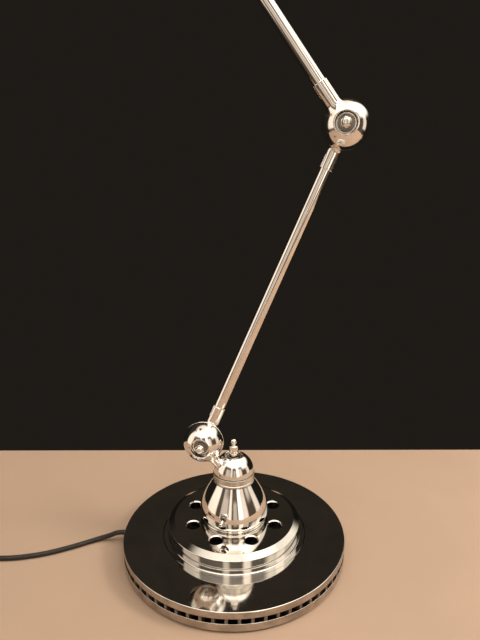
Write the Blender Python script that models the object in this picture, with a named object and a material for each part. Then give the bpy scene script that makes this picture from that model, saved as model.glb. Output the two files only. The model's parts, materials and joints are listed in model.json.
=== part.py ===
"""Articulated desk lamp with ball-shaped friction joints on a ventilated brake disc.

The lamp stands on the XY plane with its swivel axis on Z. The disc carries a pear-shaped housing,
a swivelling knuckle on top of it, two tubular arms and a spun reflector. Each ball joint is two
half balls on one bolt, with insulated contact discs between them.
"""
from math import asin, atan2, cos, degrees, pi, radians, sin, sqrt

import bmesh
import bpy
from mathutils import Matrix, Vector

for old in list(bpy.data.objects):
    bpy.data.objects.remove(old, do_unlink=True)

MM = 0.001
GAP = 0.3 * MM               # space kept between pieces that touch

# ---- driving dimensions -------------------------------------------------------------------------
DISC_RADIUS = 128 * MM
DISC_THICKNESS = 22 * MM
UPPER_PLATE = 7.6 * MM       # thickness of the friction ring that faces up
VENT_HEIGHT = 5.8 * MM
VENT_COUNT = 62
VANE_SHARE = 0.24            # part of each pitch taken by the vane
VANE_SETBACK = 1.2 * MM      # of the vanes' ends behind the rim
LOWER_PLATE_BORE = 84 * MM
FRICTION_BORE = 83 * MM
HAT_RADIUS = 76 * MM
HAT_TOP_RADIUS = 69 * MM
HAT_RISE = 18 * MM           # height of the hat's top above the friction face
HAT_CHAMFER = 3.8 * MM
HAT_WALL = 7 * MM
GROOVE_DEPTH = 1.2 * MM      # of the round corner where the hat meets the friction ring
CENTRE_BORE = 32.5 * MM
BOLT_CIRCLE = 50 * MM
BOLT_HOLE = 7.3 * MM
BOLT_COUNT = 8
PAD_RADIUS = 122 * MM
PAD_THICKNESS = 2 * MM

NIPPLE = 5 * MM              # threaded tube that clamps the housing to the hat
NIPPLE_BORE = 3.2 * MM
NIPPLE_LOW = -1 * MM         # its ends, above the friction face
NIPPLE_HIGH = 27 * MM
PLATE_RADIUS = 40 * MM
PLATE_THICKNESS = 3 * MM
BASE_NUT_FLATS = 17 * MM
BASE_NUT_THICKNESS = 5 * MM

BALL = 23 * MM               # radius of every ball joint and of the swivel dome
ARM_AZIMUTH = radians(-9)    # heading of the arms' plane about the swivel axis
SWIVEL_RISE = 75 * MM        # swivel joint above the friction face
STUB_LENGTH = 49 * MM        # from the swivel dome's centre to the shoulder's centre
STUB_ANGLE = radians(135)
STUB_RADIUS = 5.3 * MM
STUB_START = 18.2 * MM       # ends of the stub, from the shoulder's centre
STUB_END = 31 * MM
STUB_SLOPE = radians(-49)    # of the stub's own axis, down from the shoulder to the dome
LOWER_LENGTH = 366 * MM      # from the shoulder's centre to the elbow's
LOWER_ANGLE = radians(67)
UPPER_LENGTH = 366 * MM
UPPER_ANGLE = radians(125.6)
HEAD_ANGLE = radians(245)

TUBE = 6.25 * MM
TUBE_WALL = 1.25 * MM
SLEEVE = 7.5 * MM
SLEEVE_START = 10 * MM       # ends of a sleeve, from its ball's centre
SLEEVE_END = 44 * MM
SLEEVE_FLOOR = 30 * MM       # bottom of the socket that the tube sits in
SIDE_OFFSET = 9 * MM         # of each sleeve and tube from the joint's middle plane
LEAD = 1.5 * MM

HALF_FACE = 0.2 * MM         # each half ball stops this far from the joint's middle plane
RECESS_RADIUS = 17 * MM
RECESS_DEPTH = 6.5 * MM
COUNTERBORE = 9.5 * MM
COUNTERBORE_FLOOR = 13.5 * MM
JOINT_BOLT = 3 * MM

NECK_RADIUS = 23.5 * MM
NECK_TOP = SWIVEL_RISE - 0.3 * MM
NECK_BOTTOM = 65.3 * MM
STUD = 4 * MM
PASSAGE = 2.2 * MM           # hole that takes a lead out of a half ball's recess
PASSAGE_START = 15 * MM      # from the ball's centre
PASSAGE_OFFSET = 5 * MM      # of that hole from the joint's middle plane
STUB_PASSAGE_OFFSET = 6 * MM

CORD = 2.75 * MM

# ---- levels worked out from them ----------------------------------------------------------------
FACE_Z = PAD_THICKNESS + GAP + DISC_THICKNESS
VENT_TOP = -UPPER_PLATE
VENT_BOTTOM = -UPPER_PLATE - VENT_HEIGHT
HAT_UNDER = HAT_RISE - HAT_WALL

# ---- materials ----------------------------------------------------------------------------------
FINISHES = {
    "polished_iron": ((0.33, 0.32, 0.31, 1), 0.12, 1.0),
    "chrome": ((0.78, 0.76, 0.74, 1), 0.06, 1.0),
    "satin_nickel": ((0.66, 0.63, 0.59, 1), 0.3, 1.0),
    "zinc_steel": ((0.55, 0.55, 0.54, 1), 0.35, 1.0),
    "brass": ((0.75, 0.56, 0.25, 1), 0.3, 1.0),
    "bakelite": ((0.09, 0.05, 0.03, 1), 0.4, 0.0),
    "black_plastic": ((0.02, 0.02, 0.02, 1), 0.4, 0.0),
    "black_rubber": ((0.025, 0.025, 0.025, 1), 0.65, 0.0),
    "felt": ((0.05, 0.05, 0.05, 1), 0.95, 0.0),
    "porcelain": ((0.85, 0.84, 0.8, 1), 0.3, 0.0),
    "opal_glass": ((0.92, 0.9, 0.85, 1), 0.15, 0.0),
}


def finish(obj, kind):
    """Give the object its own Principled material in one of the finishes."""
    colour, roughness, metallic = FINISHES[kind]
    material = bpy.data.materials.new(obj.name + "_finish")
    material.use_nodes = True
    shader = material.node_tree.nodes["Principled BSDF"]
    shader.inputs["Base Color"].default_value = colour
    shader.inputs["Roughness"].default_value = roughness
    shader.inputs["Metallic"].default_value = metallic
    obj.data.materials.append(material)


# ---- shape tools --------------------------------------------------------------------------------
def add_object(name, bm, kind, parent=None, location=(0, 0, 0)):
    """Turn a bmesh into a named, smooth-shaded object with a finish."""
    bmesh.ops.recalc_face_normals(bm, faces=bm.faces)
    mesh = bpy.data.meshes.new(name)
    bm.to_mesh(mesh)
    bm.free()
    mesh.shade_smooth()
    mesh.set_sharp_from_angle(angle=radians(35))
    obj = bpy.data.objects.new(name, mesh)
    bpy.context.collection.objects.link(obj)
    obj.parent = parent
    obj.location = location
    if kind:
        finish(obj, kind)
    return obj


def add_cutter(name, bm, parent=None, location=(0, 0, 0)):
    """A shape that only takes part in Booleans."""
    obj = add_object(name, bm, None, parent, location)
    obj.hide_render = True
    obj.display_type = "WIRE"
    return obj


def boolean(obj, other, operation):
    modifier = obj.modifiers.new(other.name, "BOOLEAN")
    modifier.operation = operation
    modifier.object = other


def lathe(profile, steps):
    """Spin a closed section of (radius, height) points about Z, leaving out edges on the axis."""
    bm = bmesh.new()
    verts = [bm.verts.new((r, 0, z)) for r, z in profile]
    edges = [bm.edges.new((a, b)) for a, b in zip(verts, verts[1:] + verts[:1]) if a.co.x or b.co.x]
    bmesh.ops.spin(bm, geom=verts + edges, cent=(0, 0, 0), axis=(0, 0, 1), angle=2 * pi,
                   steps=steps, use_merge=True)
    bmesh.ops.remove_doubles(bm, verts=bm.verts, dist=0.001 * MM)
    return bm


def rod(radius, low, high, steps=16):
    """A plain cylinder along Z, closed on its axis."""
    return lathe([(0, low), (radius, low), (radius, high), (0, high)], steps)


def tube(inner, outer, low, high, steps=16):
    return lathe([(inner, low), (outer, low), (outer, high), (inner, high)], steps)


def hexagon(across_flats, low, high, hole):
    """A hexagonal nut along Z with a round-ish twelve-sided hole."""
    bm = bmesh.new()
    flat = across_flats / 2
    corner = flat / cos(pi / 6)
    rings = []
    levels = ((corner, flat, low), (corner, flat, high), (hole, hole, high), (hole, hole, low))
    for at_corner, at_flat, z in levels:
        ring = []
        for i in range(12):
            angle = i * pi / 6
            r = at_flat if i % 2 else at_corner
            ring.append(bm.verts.new((r * cos(angle), r * sin(angle), z)))
        rings.append(ring)
    for ring, above in zip(rings, rings[1:] + rings[:1]):
        for i in range(12):
            j = (i + 1) % 12
            bm.faces.new((ring[i], ring[j], above[j], above[i]))
    return bm


def arc(centre, radius, start, end, count):
    """Points of a circular arc in a (radius, height) section; angles in degrees."""
    points = []
    for i in range(count + 1):
        angle = radians(start + (end - start) * i / count)
        points.append((centre[0] + radius * cos(angle), centre[1] + radius * sin(angle)))
    return points


def turned(bm, matrix):
    bmesh.ops.transform(bm, matrix=matrix, verts=bm.verts)
    return bm


def along_x(bm):
    """Turn a shape made along Z so that it runs along X."""
    return turned(bm, Matrix.Rotation(radians(90), 4, "Y"))


def along_y(bm, side):
    """Turn a shape made along Z so that its height runs towards -Y (side -1) or +Y (side 1)."""
    return turned(bm, Matrix.Rotation(radians(90 if side < 0 else -90), 4, "X"))


def empty(name, parent, location, rotation=(0, 0, 0)):
    obj = bpy.data.objects.new(name, None)
    bpy.context.collection.objects.link(obj)
    obj.parent = parent
    obj.location = location
    obj.rotation_euler = rotation
    return obj


# ---- brake disc base ----------------------------------------------------------------------------
def disc_section():
    """Upper outline, rim and underside of the disc, with the vent's four corner points marked."""
    edge = 0.8 * MM           # chamfer of the rim's edges
    upper = [
        (CENTRE_BORE, HAT_RISE),
        (HAT_TOP_RADIUS, HAT_RISE),
        (HAT_RADIUS, HAT_RISE - HAT_CHAMFER),
        (HAT_RADIUS, 3 * MM),
        (HAT_RADIUS + 2 * MM, -GROOVE_DEPTH),
        (FRICTION_BORE, 0),
        (DISC_RADIUS - edge, 0),
        (DISC_RADIUS, -edge),
        (DISC_RADIUS, VENT_TOP),
        (DISC_RADIUS - VANE_SETBACK, VENT_TOP),
    ]
    lower = [
        (DISC_RADIUS - VANE_SETBACK, VENT_BOTTOM),
        (DISC_RADIUS, VENT_BOTTOM),
        (DISC_RADIUS, edge - DISC_THICKNESS),
        (DISC_RADIUS - edge, -DISC_THICKNESS),
        (LOWER_PLATE_BORE, -DISC_THICKNESS),
        (LOWER_PLATE_BORE, VENT_BOTTOM),
    ]
    inner = [
        (LOWER_PLATE_BORE, VENT_TOP),
        (HAT_RADIUS - HAT_WALL, VENT_TOP),
        (HAT_RADIUS - HAT_WALL, HAT_UNDER),
        (CENTRE_BORE, HAT_UNDER),
    ]
    return upper, lower, inner


def brake_disc():
    """Two friction rings joined by radial vanes, in one body with the hat."""
    upper, lower, inner = disc_section()
    section = upper + lower + inner
    rim_top = len(upper) - 1
    rim_bottom = rim_top + 1
    bore_bottom = len(upper) + len(lower) - 1
    bore_top = bore_bottom + 1
    bm = bmesh.new()
    pitch = 2 * pi / VENT_COUNT
    rings = []
    for i in range(VENT_COUNT):
        for share in (0.5 - VANE_SHARE / 2, 0.5 + VANE_SHARE / 2):
            angle = (i + share) * pitch - pi / 2
            rings.append([bm.verts.new((r * cos(angle), r * sin(angle), z)) for r, z in section])
    size = len(section)
    for i, ring in enumerate(rings):
        after = rings[(i + 1) % len(rings)]
        in_vent = i % 2 == 1
        for k in range(size):
            n = (k + 1) % size
            if in_vent and k in (rim_top, bore_bottom):
                continue
            bm.faces.new((ring[k], ring[n], after[n], after[k]))
        if in_vent:
            bm.faces.new((ring[rim_top], ring[bore_top], after[bore_top], after[rim_top]))
            bm.faces.new((ring[rim_bottom], ring[bore_bottom], after[bore_bottom], after[rim_bottom]))
        corners = (rim_top, bore_top, bore_bottom, rim_bottom)
        bm.faces.new([ring[k] for k in corners])
    disc = add_object("brake_disc", bm, "polished_iron", location=(0, 0, FACE_Z))
    countersink = 1 * MM
    for i in range(BOLT_COUNT):
        angle = (i + 0.5) * 2 * pi / BOLT_COUNT
        profile = [
            (0, HAT_UNDER - countersink),
            (BOLT_HOLE, HAT_UNDER - countersink),
            (BOLT_HOLE, HAT_RISE - countersink),
            (BOLT_HOLE + 2 * countersink, HAT_RISE + countersink),
            (0, HAT_RISE + countersink),
        ]
        place = (BOLT_CIRCLE * cos(angle), BOLT_CIRCLE * sin(angle), FACE_Z)
        boolean(disc, add_cutter(f"bolt_hole_{i}", lathe(profile, 12), None, place),
                "DIFFERENCE")
    return disc


def base():
    """Felt pad, disc, and the plate, nut and nipple that hold the housing down."""
    pad = rod(PAD_RADIUS, 0, PAD_THICKNESS, 40)
    add_object("base_pad", pad, "felt")
    brake_disc()
    face = (0, 0, FACE_Z)
    plate_top = HAT_UNDER - GAP
    plate_low = plate_top - PLATE_THICKNESS
    plate = tube(NIPPLE + GAP, PLATE_RADIUS, plate_low, plate_top, 24)
    add_object("clamp_plate", plate, "zinc_steel", location=face)
    nut_top = plate_low - GAP
    nut = hexagon(BASE_NUT_FLATS, nut_top - BASE_NUT_THICKNESS, nut_top, NIPPLE + GAP)
    add_object("base_nut", nut, "zinc_steel", location=face)
    nipple = tube(NIPPLE_BORE, NIPPLE, NIPPLE_LOW, NIPPLE_HIGH, 12)
    add_object("base_nipple", nipple, "brass", location=face)


# ---- pear-shaped housing with the switch --------------------------------------------------------
WIDEST_RISE = 26.8 * MM
WIDEST_RADIUS = 39.7 * MM
HOUSING_WALL = 2.5 * MM
FOOT_RADIUS = 36.8 * MM
FOOT_RISE = HAT_RISE + GAP
BOWL_RADIUS = 8 * MM         # of the section below the widest level
BOWL_ANGLE = 58              # degrees of that arc
SHOULDER_ANGLE = radians(100)
NIPPLE_HOLE = 5.4 * MM
SWITCH_AZIMUTH = radians(253.7)
SWITCH_RISE = 38 * MM
SWITCH_DEPTH = 18 * MM        # from the housing's outside to the end of the switch's body
LEVER_TILT = radians(20)      # the lever leans down from the switch's axis


SHOULDER_HEIGHT = NECK_BOTTOM - GAP - WIDEST_RISE


def pear_outline(inset, count):
    """Lower bowl and long upper shoulder of the pear, as (radius, height), bottom to top."""
    points = arc((WIDEST_RADIUS - BOWL_RADIUS, WIDEST_RISE), BOWL_RADIUS - inset, -BOWL_ANGLE, 0, 4)
    for i in range(1, count + 1):
        share = i / count
        points.append((shoulder_radius(share) - inset, WIDEST_RISE + SHOULDER_HEIGHT * share))
    return points


def shoulder_radius(share):
    """Radius of the pear at a share of the way from its widest level to the neck."""
    drop = (1 - cos(share * SHOULDER_ANGLE)) / (1 - cos(SHOULDER_ANGLE))
    return WIDEST_RADIUS - (WIDEST_RADIUS - NECK_RADIUS) * drop


def housing():
    outer = pear_outline(0, 7)
    inner = pear_outline(HOUSING_WALL, 4)
    floor = FOOT_RISE + 3 * MM
    neck_bore = inner[-1][0]
    profile = [
        (NIPPLE_HOLE, FOOT_RISE),
        (FOOT_RADIUS, FOOT_RISE),
        (FOOT_RADIUS, FOOT_RISE + 1 * MM),
        (outer[0][0] + 0.6 * MM, FOOT_RISE + 1.5 * MM),
    ]
    profile += outer
    profile += list(reversed([p for p in inner if p[1] > floor + 1 * MM]))
    profile += [(inner[0][0] - 1 * MM, floor), (NIPPLE_HOLE, floor)]
    body = add_object("pear_housing", lathe(profile, 24), "chrome", location=(0, 0, FACE_Z))

    collar = [
        (STUD + GAP, NECK_BOTTOM - 5 * MM),
        (neck_bore - GAP, NECK_BOTTOM - 5 * MM),
        (neck_bore - GAP, NECK_BOTTOM),
        (NECK_RADIUS, NECK_BOTTOM),
        (NECK_RADIUS, NECK_TOP),
        (RECESS_RADIUS, NECK_TOP),
        (RECESS_RADIUS, NECK_TOP - 4 * MM),
        (STUD + GAP, NECK_TOP - 4 * MM),
    ]
    add_object("neck_collar", lathe(collar, 24), "satin_nickel", location=(0, 0, FACE_Z))

    share = (SWITCH_RISE - WIDEST_RISE) / SHOULDER_HEIGHT
    reach = shoulder_radius(share)
    tilt = atan2(reach - shoulder_radius(share + 0.01), 0.01 * SHOULDER_HEIGHT)
    place = Vector((reach * cos(SWITCH_AZIMUTH), reach * sin(SWITCH_AZIMUTH), FACE_Z + SWITCH_RISE))
    frame = empty("switch_frame", None, place, (0, pi / 2 - tilt, SWITCH_AZIMUTH))
    hole = add_cutter("switch_hole", rod(3.5 * MM, -6 * MM, 4 * MM, 12), frame)
    boolean(body, hole, "DIFFERENCE")
    switch_body = [
        (0, -SWITCH_DEPTH),
        (6.5 * MM, -SWITCH_DEPTH),
        (6.5 * MM, -5 * MM),
        (3.1 * MM, -5 * MM),
        (3.1 * MM, 2.6 * MM),
        (2.6 * MM, 2.6 * MM),
        (2.4 * MM, -1.5 * MM),
        (0, -1.5 * MM),
    ]
    add_object("switch_body", lathe(switch_body, 12), "bakelite", frame)
    bezel = tube(3.4 * MM, 5.6 * MM, 0.5 * MM, 2.4 * MM, 12)
    add_object("switch_bezel", bezel, "chrome", frame)
    lever = [
        (0, 0),
        (0.8 * MM, 0),
        (1.3 * MM, 4 * MM),
        (2 * MM, 10 * MM),
        (2.1 * MM, 12 * MM),
        (1.3 * MM, 13 * MM),
        (0, 13 * MM),
    ]
    pivot = empty("switch_pivot", frame, (0, 0, 0), (0, LEVER_TILT, 0))
    add_object("switch_lever", lathe(lever, 12), "chrome", pivot)
    outward = Vector((cos(tilt) * cos(SWITCH_AZIMUTH), cos(tilt) * sin(SWITCH_AZIMUTH), sin(tilt)))
    return place - outward * (SWITCH_DEPTH + GAP)


# ---- ball joints --------------------------------------------------------------------------------
def half_ball(bolt=JOINT_BOLT, steps=18):
    """One half of a ball: recess for the contact disc inside, counterbore for the bolt outside."""
    start = degrees(asin(HALF_FACE / BALL))
    end = degrees(asin(sqrt(BALL ** 2 - COUNTERBORE ** 2) / BALL))
    hole = bolt + 0.4 * MM
    profile = [(hole, RECESS_DEPTH), (RECESS_RADIUS, RECESS_DEPTH), (RECESS_RADIUS, HALF_FACE)]
    profile += arc((0, 0), BALL, start, end, 5)
    profile += [(COUNTERBORE, COUNTERBORE_FLOOR), (hole, COUNTERBORE_FLOOR)]
    return lathe(profile, steps)


def sleeve():
    """Socket for a tube, made along X from inside the half ball's wall to its open end."""
    chamfer = 0.6 * MM
    bore = TUBE + GAP
    profile = [
        (0, SLEEVE_START),
        (SLEEVE, SLEEVE_START),
        (SLEEVE, SLEEVE_END - chamfer),
        (SLEEVE - chamfer, SLEEVE_END),
        (bore, SLEEVE_END),
        (bore, SLEEVE_FLOOR),
        (0, SLEEVE_FLOOR),
    ]
    return along_x(lathe(profile, 16))


def knuckle(name, side, parent):
    """Half ball with a sleeve beside its parent's X; side -1 is the nut's half, 1 the bolt head's."""
    shell = add_object(name, along_y(half_ball(), side), "chrome", parent)
    socket = add_cutter(name + "_sleeve", sleeve(), parent, (0, side * SIDE_OFFSET, 0))
    boolean(shell, socket, "UNION")
    recess = along_y(rod(RECESS_RADIUS, -2 * RECESS_DEPTH, RECESS_DEPTH, 18), side)
    boolean(shell, add_cutter(name + "_recess", recess, parent), "DIFFERENCE")
    passage = along_x(rod(PASSAGE, PASSAGE_START, SLEEVE_FLOOR + 1 * MM, 8))
    hole = add_cutter(name + "_passage", passage, parent, (0, side * PASSAGE_OFFSET, 0))
    boolean(shell, hole, "DIFFERENCE")


def joint_hardware(prefix, pivot):
    """Bolt, disc spring, washer, cap nut, two insulating discs and the contact ring of a joint."""
    floor = COUNTERBORE_FLOOR
    nut_side = -1
    head_side = 1
    disc_hole = JOINT_BOLT + 0.8 * MM
    bolt = lathe([(0, -(floor + 8.5 * MM)), (JOINT_BOLT, -(floor + 8.5 * MM)), (JOINT_BOLT, floor + GAP),
                  (6 * MM, floor + GAP), (6 * MM, floor + 3 * MM), (3.5 * MM, floor + 5 * MM),
                  (0, floor + 5.4 * MM)], 12)
    add_object(prefix + "_bolt", along_y(bolt, head_side), "chrome", pivot)
    spring = lathe([(3.6 * MM, floor + 1.3 * MM), (8 * MM, floor + GAP), (8 * MM, floor + 1.3 * MM),
                    (3.6 * MM, floor + 2.3 * MM)], 12)
    add_object(prefix + "_spring", along_y(spring, nut_side), "zinc_steel", pivot)
    washer_low = floor + 2.3 * MM + GAP
    washer = tube(JOINT_BOLT + GAP, 6.5 * MM, washer_low, washer_low + 1 * MM, 12)
    add_object(prefix + "_washer", along_y(washer, nut_side), "zinc_steel", pivot)
    nut_low = washer_low + 1 * MM + GAP
    bore = JOINT_BOLT + GAP
    nut = lathe([(bore, nut_low), (5.2 * MM, nut_low), (5.2 * MM, nut_low + 3.6 * MM),
                 (4.6 * MM, nut_low + 4 * MM), (4 * MM, nut_low + 5.6 * MM), (2.4 * MM, nut_low + 7 * MM),
                 (0, nut_low + 7.5 * MM), (0, nut_low + 5.6 * MM), (bore, nut_low + 5.6 * MM)], 12)
    add_object(prefix + "_cap_nut", along_y(nut, nut_side), "chrome", pivot)
    for label, side in (("front", nut_side), ("back", head_side)):
        disc = tube(disc_hole, RECESS_RADIUS - GAP, 3 * MM, RECESS_DEPTH - GAP, 14)
        add_object(f"{prefix}_{label}_insulator", along_y(disc, side), "bakelite", pivot)
    ring = tube(9 * MM, 13 * MM, -2.7 * MM, 2.7 * MM, 14)
    add_object(prefix + "_contact_ring", along_y(ring, nut_side), "brass", pivot)


def arm(prefix, length, side, parent):
    """A tube with its lead between two knuckles, all on one side of the plane through the parent's X."""
    far = empty(prefix + "_far_end", parent, (length, 0, 0), (0, 0, pi))
    knuckle(prefix + "_bottom_knuckle", side, parent)
    knuckle(prefix + "_top_knuckle", -side, far)
    start = SLEEVE_FLOOR + GAP
    beside = (0, side * SIDE_OFFSET, 0)
    pipe = along_x(tube(TUBE - TUBE_WALL, TUBE, start, length - start, 16))
    add_object(prefix + "_tube", pipe, "chrome", parent, beside)
    lead = along_x(rod(LEAD, start + 1 * MM, length - start - 1 * MM, 8))
    add_object(prefix + "_lead", lead, "black_plastic", parent, beside)


# ---- swivel on top of the housing ---------------------------------------------------------------
def swivel():
    """Stud, contact discs, spring, washer and finial of the vertical joint."""
    level = (0, 0, FACE_Z + SWIVEL_RISE)
    floor = COUNTERBORE_FLOOR
    stud = rod(STUD, -16 * MM, floor + 13 * MM, 12)
    add_object("swivel_stud", stud, "zinc_steel", location=level)
    fixed = tube(STUD + 0.8 * MM, RECESS_RADIUS - GAP, -4 * MM, -1.4 * MM, 14)
    add_object("swivel_lower_insulator", fixed, "bakelite", location=level)
    ring = tube(9 * MM, 13 * MM, -1.1 * MM, 2.7 * MM, 14)
    add_object("swivel_contact_ring", ring, "brass", location=level)
    moving = tube(STUD + 0.8 * MM, RECESS_RADIUS - GAP, 3 * MM, RECESS_DEPTH - GAP, 14)
    add_object("swivel_upper_insulator", moving, "bakelite", location=level)
    spring = lathe([(4.6 * MM, floor + 1.3 * MM), (8.6 * MM, floor + GAP), (8.6 * MM, floor + 1.3 * MM),
                    (4.6 * MM, floor + 2.3 * MM)], 12)
    add_object("swivel_spring", spring, "zinc_steel", location=level)
    washer_low = floor + 2.3 * MM + GAP
    washer = tube(STUD + GAP, 7 * MM, washer_low, washer_low + 1.2 * MM, 12)
    add_object("swivel_washer", washer, "chrome", location=level)
    nut_low = washer_low + 1.2 * MM + GAP
    bore = STUD + GAP
    nut = [
        (bore, nut_low),
        (5.4 * MM, nut_low),
        (5.4 * MM, nut_low + 7 * MM),
        (4.7 * MM, nut_low + 8 * MM),
        (4.7 * MM, nut_low + 13.6 * MM),
        (2.7 * MM, nut_low + 14.8 * MM),
    ]
    nut += arc((0, nut_low + 18.9 * MM), 3.4 * MM, -55, 90, 5)
    nut += [(0, nut_low + 12 * MM), (bore, nut_low + 12 * MM)]
    add_object("finial_nut", lathe(nut, 12), "chrome", location=level)


def base_knuckle(dome_frame, shoulder_frame, stub_frame):
    """Swivel dome, slanting stub and the shoulder's nut-side half ball, in one casting."""
    dome = add_object("base_knuckle", half_ball(STUD), "chrome", dome_frame)
    stub = along_x(rod(STUB_RADIUS, STUB_START, STUB_END, 16))
    boolean(dome, add_cutter("stub", stub, stub_frame, (0, -SIDE_OFFSET, 0)), "UNION")
    half = add_cutter("shoulder_front_half", along_y(half_ball(), -1), shoulder_frame)
    boolean(dome, half, "UNION")
    passage = along_x(rod(PASSAGE, PASSAGE_START, STUB_END + 7 * MM, 8))
    hole = add_cutter("stub_passage", passage, stub_frame, (0, -STUB_PASSAGE_OFFSET, 0))
    boolean(dome, hole, "DIFFERENCE")


# ---- reflector head -----------------------------------------------------------------------------
SHADE_RIM_RADIUS = 75 * MM
SHADE_NECK_RADIUS = 21 * MM
SHADE_START = SLEEVE_END + GAP
SHADE_LENGTH = 112 * MM
SHADE_WALL = 1.2 * MM


def shade_outline(inset):
    """Bell-shaped section: short neck, rounded shoulder and a flaring skirt."""
    neck = SHADE_NECK_RADIUS - inset
    start = SHADE_START + inset
    points = [(neck - 3 * MM, start), (neck, start + 3 * MM), (neck, start + 22 * MM)]
    skirt_start = start + 26 * MM
    skirt_end = SHADE_START + SHADE_LENGTH
    for i in range(7):
        share = i / 6
        bulge = sin(share * pi / 2) ** 0.8
        radius = neck + 3 * MM + (SHADE_RIM_RADIUS - SHADE_NECK_RADIUS - 3 * MM) * bulge
        points.append((radius, skirt_start + (skirt_end - skirt_start) * share))
    return points


def head(frame):
    """Knuckle, shade, lampholder with its ring, and lamp, all on the back half's side."""
    knuckle("head_knuckle", 1, frame)
    beside = (0, SIDE_OFFSET, 0)
    outer = shade_outline(0)
    inner = shade_outline(SHADE_WALL)
    hole = 5.4 * MM
    profile = [(hole, SHADE_START)] + outer + list(reversed(inner)) + [(hole, SHADE_START + SHADE_WALL)]
    add_object("shade", along_x(lathe(profile, 26)), "chrome", frame, beside)
    inside = SHADE_START + SHADE_WALL + GAP
    holder = [
        (0, SLEEVE_FLOOR + 2 * MM),
        (5 * MM, SLEEVE_FLOOR + 2 * MM),
        (5 * MM, inside),
        (13.5 * MM, inside),
        (13.5 * MM, inside + 36 * MM),
        (12 * MM, inside + 36 * MM),
        (12 * MM, inside + 16 * MM),
        (0, inside + 16 * MM),
    ]
    add_object("lampholder", along_x(lathe(holder, 16)), "porcelain", frame, beside)
    ring = tube(13.8 * MM, 18.5 * MM, inside + 8 * MM, inside + 12 * MM, 16)
    add_object("shade_ring", along_x(ring), "bakelite", frame, beside)
    cap_low = inside + 16 * MM + GAP
    globe_radius = 22.5 * MM
    globe_centre = cap_low + 54 * MM
    bulb = [
        (0, cap_low),
        (6.5 * MM, cap_low + 2 * MM),
        (6.5 * MM, cap_low + 22 * MM),
        (11 * MM, cap_low + 28 * MM),
    ]
    bulb += arc((0, globe_centre), globe_radius, -50, 90, 7)
    add_object("lamp_bulb", along_x(lathe(bulb, 16)), "opal_glass", frame, beside)


# ---- mains cord ---------------------------------------------------------------------------------
EXIT_VENT = 46               # the cord leaves by this vent, counted from the one on -Y
EXIT_AZIMUTH = EXIT_VENT * 2 * pi / VENT_COUNT - pi / 2
EXIT_RISE = -(UPPER_PLATE + VENT_HEIGHT / 2)
CORD_ROUTE = [                # metres, from just outside the disc's rim to the coil
    (-0.1350, 0.0069, 0.0136),
    (-0.1411, 0.0077, 0.0122),
    (-0.1470, 0.0087, 0.0092),
    (-0.1532, 0.0094, 0.0064),
    (-0.1612, 0.0087, 0.0042),
    (-0.1725, 0.0045, 0.0030),
    (-0.1880, -0.0036, 0.0029),
    (-0.2037, -0.0109, 0.0029),
    (-0.2191, -0.0169, 0.0029),
    (-0.2348, -0.0211, 0.0029),
    (-0.2509, -0.0239, 0.0029),
    (-0.2677, -0.0249, 0.0029),
    (-0.2870, -0.0250, 0.0029),
    (-0.3050, -0.0250, 0.0029),
]
COIL_OUTER = 38.2 * MM
COIL_INNER = 21 * MM
COIL_HEIGHT = 17 * MM
OUTER_TURN = COIL_OUTER - CORD
PLUG_TAIL = 3.4 * MM         # radius of the plug's strain relief at its end
PLUG_HEADING = radians(315)  # the cord leaves the coil's outer turn in this direction
PLUG_RISE = 7.2 * MM
PLUG_REACH = 50 * MM         # of the plug from where its end of the cord leaves the outer turn
PLUG_LENGTH = 48 * MM
PIN = 2 * MM
PIN_LENGTH = 19 * MM
PIN_OFFSET = 9.3 * MM        # each pin from the plug's middle
GLAND_MIDDLE = 116 * MM      # from the lamp's axis
GLAND_HALF = 12.6 * MM


def coil_reach(radius):
    """How far before its tangent point a round lead of this radius touches the coil's outside."""
    return sqrt(COIL_OUTER ** 2 - (OUTER_TURN - radius) ** 2) + GAP


COIL_CENTRE = Vector((CORD_ROUTE[-1][0] - coil_reach(CORD), CORD_ROUTE[-1][1] - OUTER_TURN, 0))


def smooth_route(points, spacing):
    """Read a centripetal curve through the route's points at an even spacing."""
    knots = [Vector(p) for p in points]
    padded = [2 * knots[0] - knots[1]] + knots + [2 * knots[-1] - knots[-2]]
    fine = []
    for a, b, c, d in zip(padded, padded[1:], padded[2:], padded[3:]):
        for step in range(12):
            t = step / 12
            fine.append(0.5 * ((2 * b) + (c - a) * t + (2 * a - 5 * b + 4 * c - d) * t * t
                               + (3 * b - 3 * c + d - a) * t ** 3))
    fine.append(knots[-1])
    even = [fine[0]]
    for point in fine[1:]:
        if (point - even[-1]).length >= spacing:
            even.append(point)
    if (even[-1] - knots[-1]).length > spacing / 2:
        even.append(knots[-1])
    return even


def cable(name, points, radius, kind):
    """A round lead of one radius through the points."""
    curve = bpy.data.curves.new(name, "CURVE")
    curve.dimensions = "3D"
    curve.bevel_depth = radius
    curve.bevel_resolution = 2
    curve.use_fill_caps = True
    spline = curve.splines.new("POLY")
    spline.points.add(len(points) - 1)
    for target, point in zip(spline.points, points):
        target.co = (*point, 1)
    lead = bpy.data.objects.new(name, curve)
    bpy.context.collection.objects.link(lead)
    finish(lead, kind)


def loft(sections, count, power):
    """A closed body along X through rounded-square sections (x, half width, half height)."""
    bm = bmesh.new()
    rings = []
    for x, half_width, half_height in sections:
        ring = []
        for i in range(count):
            angle = 2 * pi * (i + 0.5) / count
            y = abs(cos(angle)) ** power * half_width * (1 if cos(angle) > 0 else -1)
            z = abs(sin(angle)) ** power * half_height * (1 if sin(angle) > 0 else -1)
            ring.append(bm.verts.new((x, y, z)))
        rings.append(ring)
    for ring, after in zip(rings, rings[1:]):
        for i in range(count):
            j = (i + 1) % count
            bm.faces.new((ring[i], ring[j], after[j], after[i]))
    bm.faces.new(rings[0])
    bm.faces.new(rings[-1])
    return bm


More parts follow.
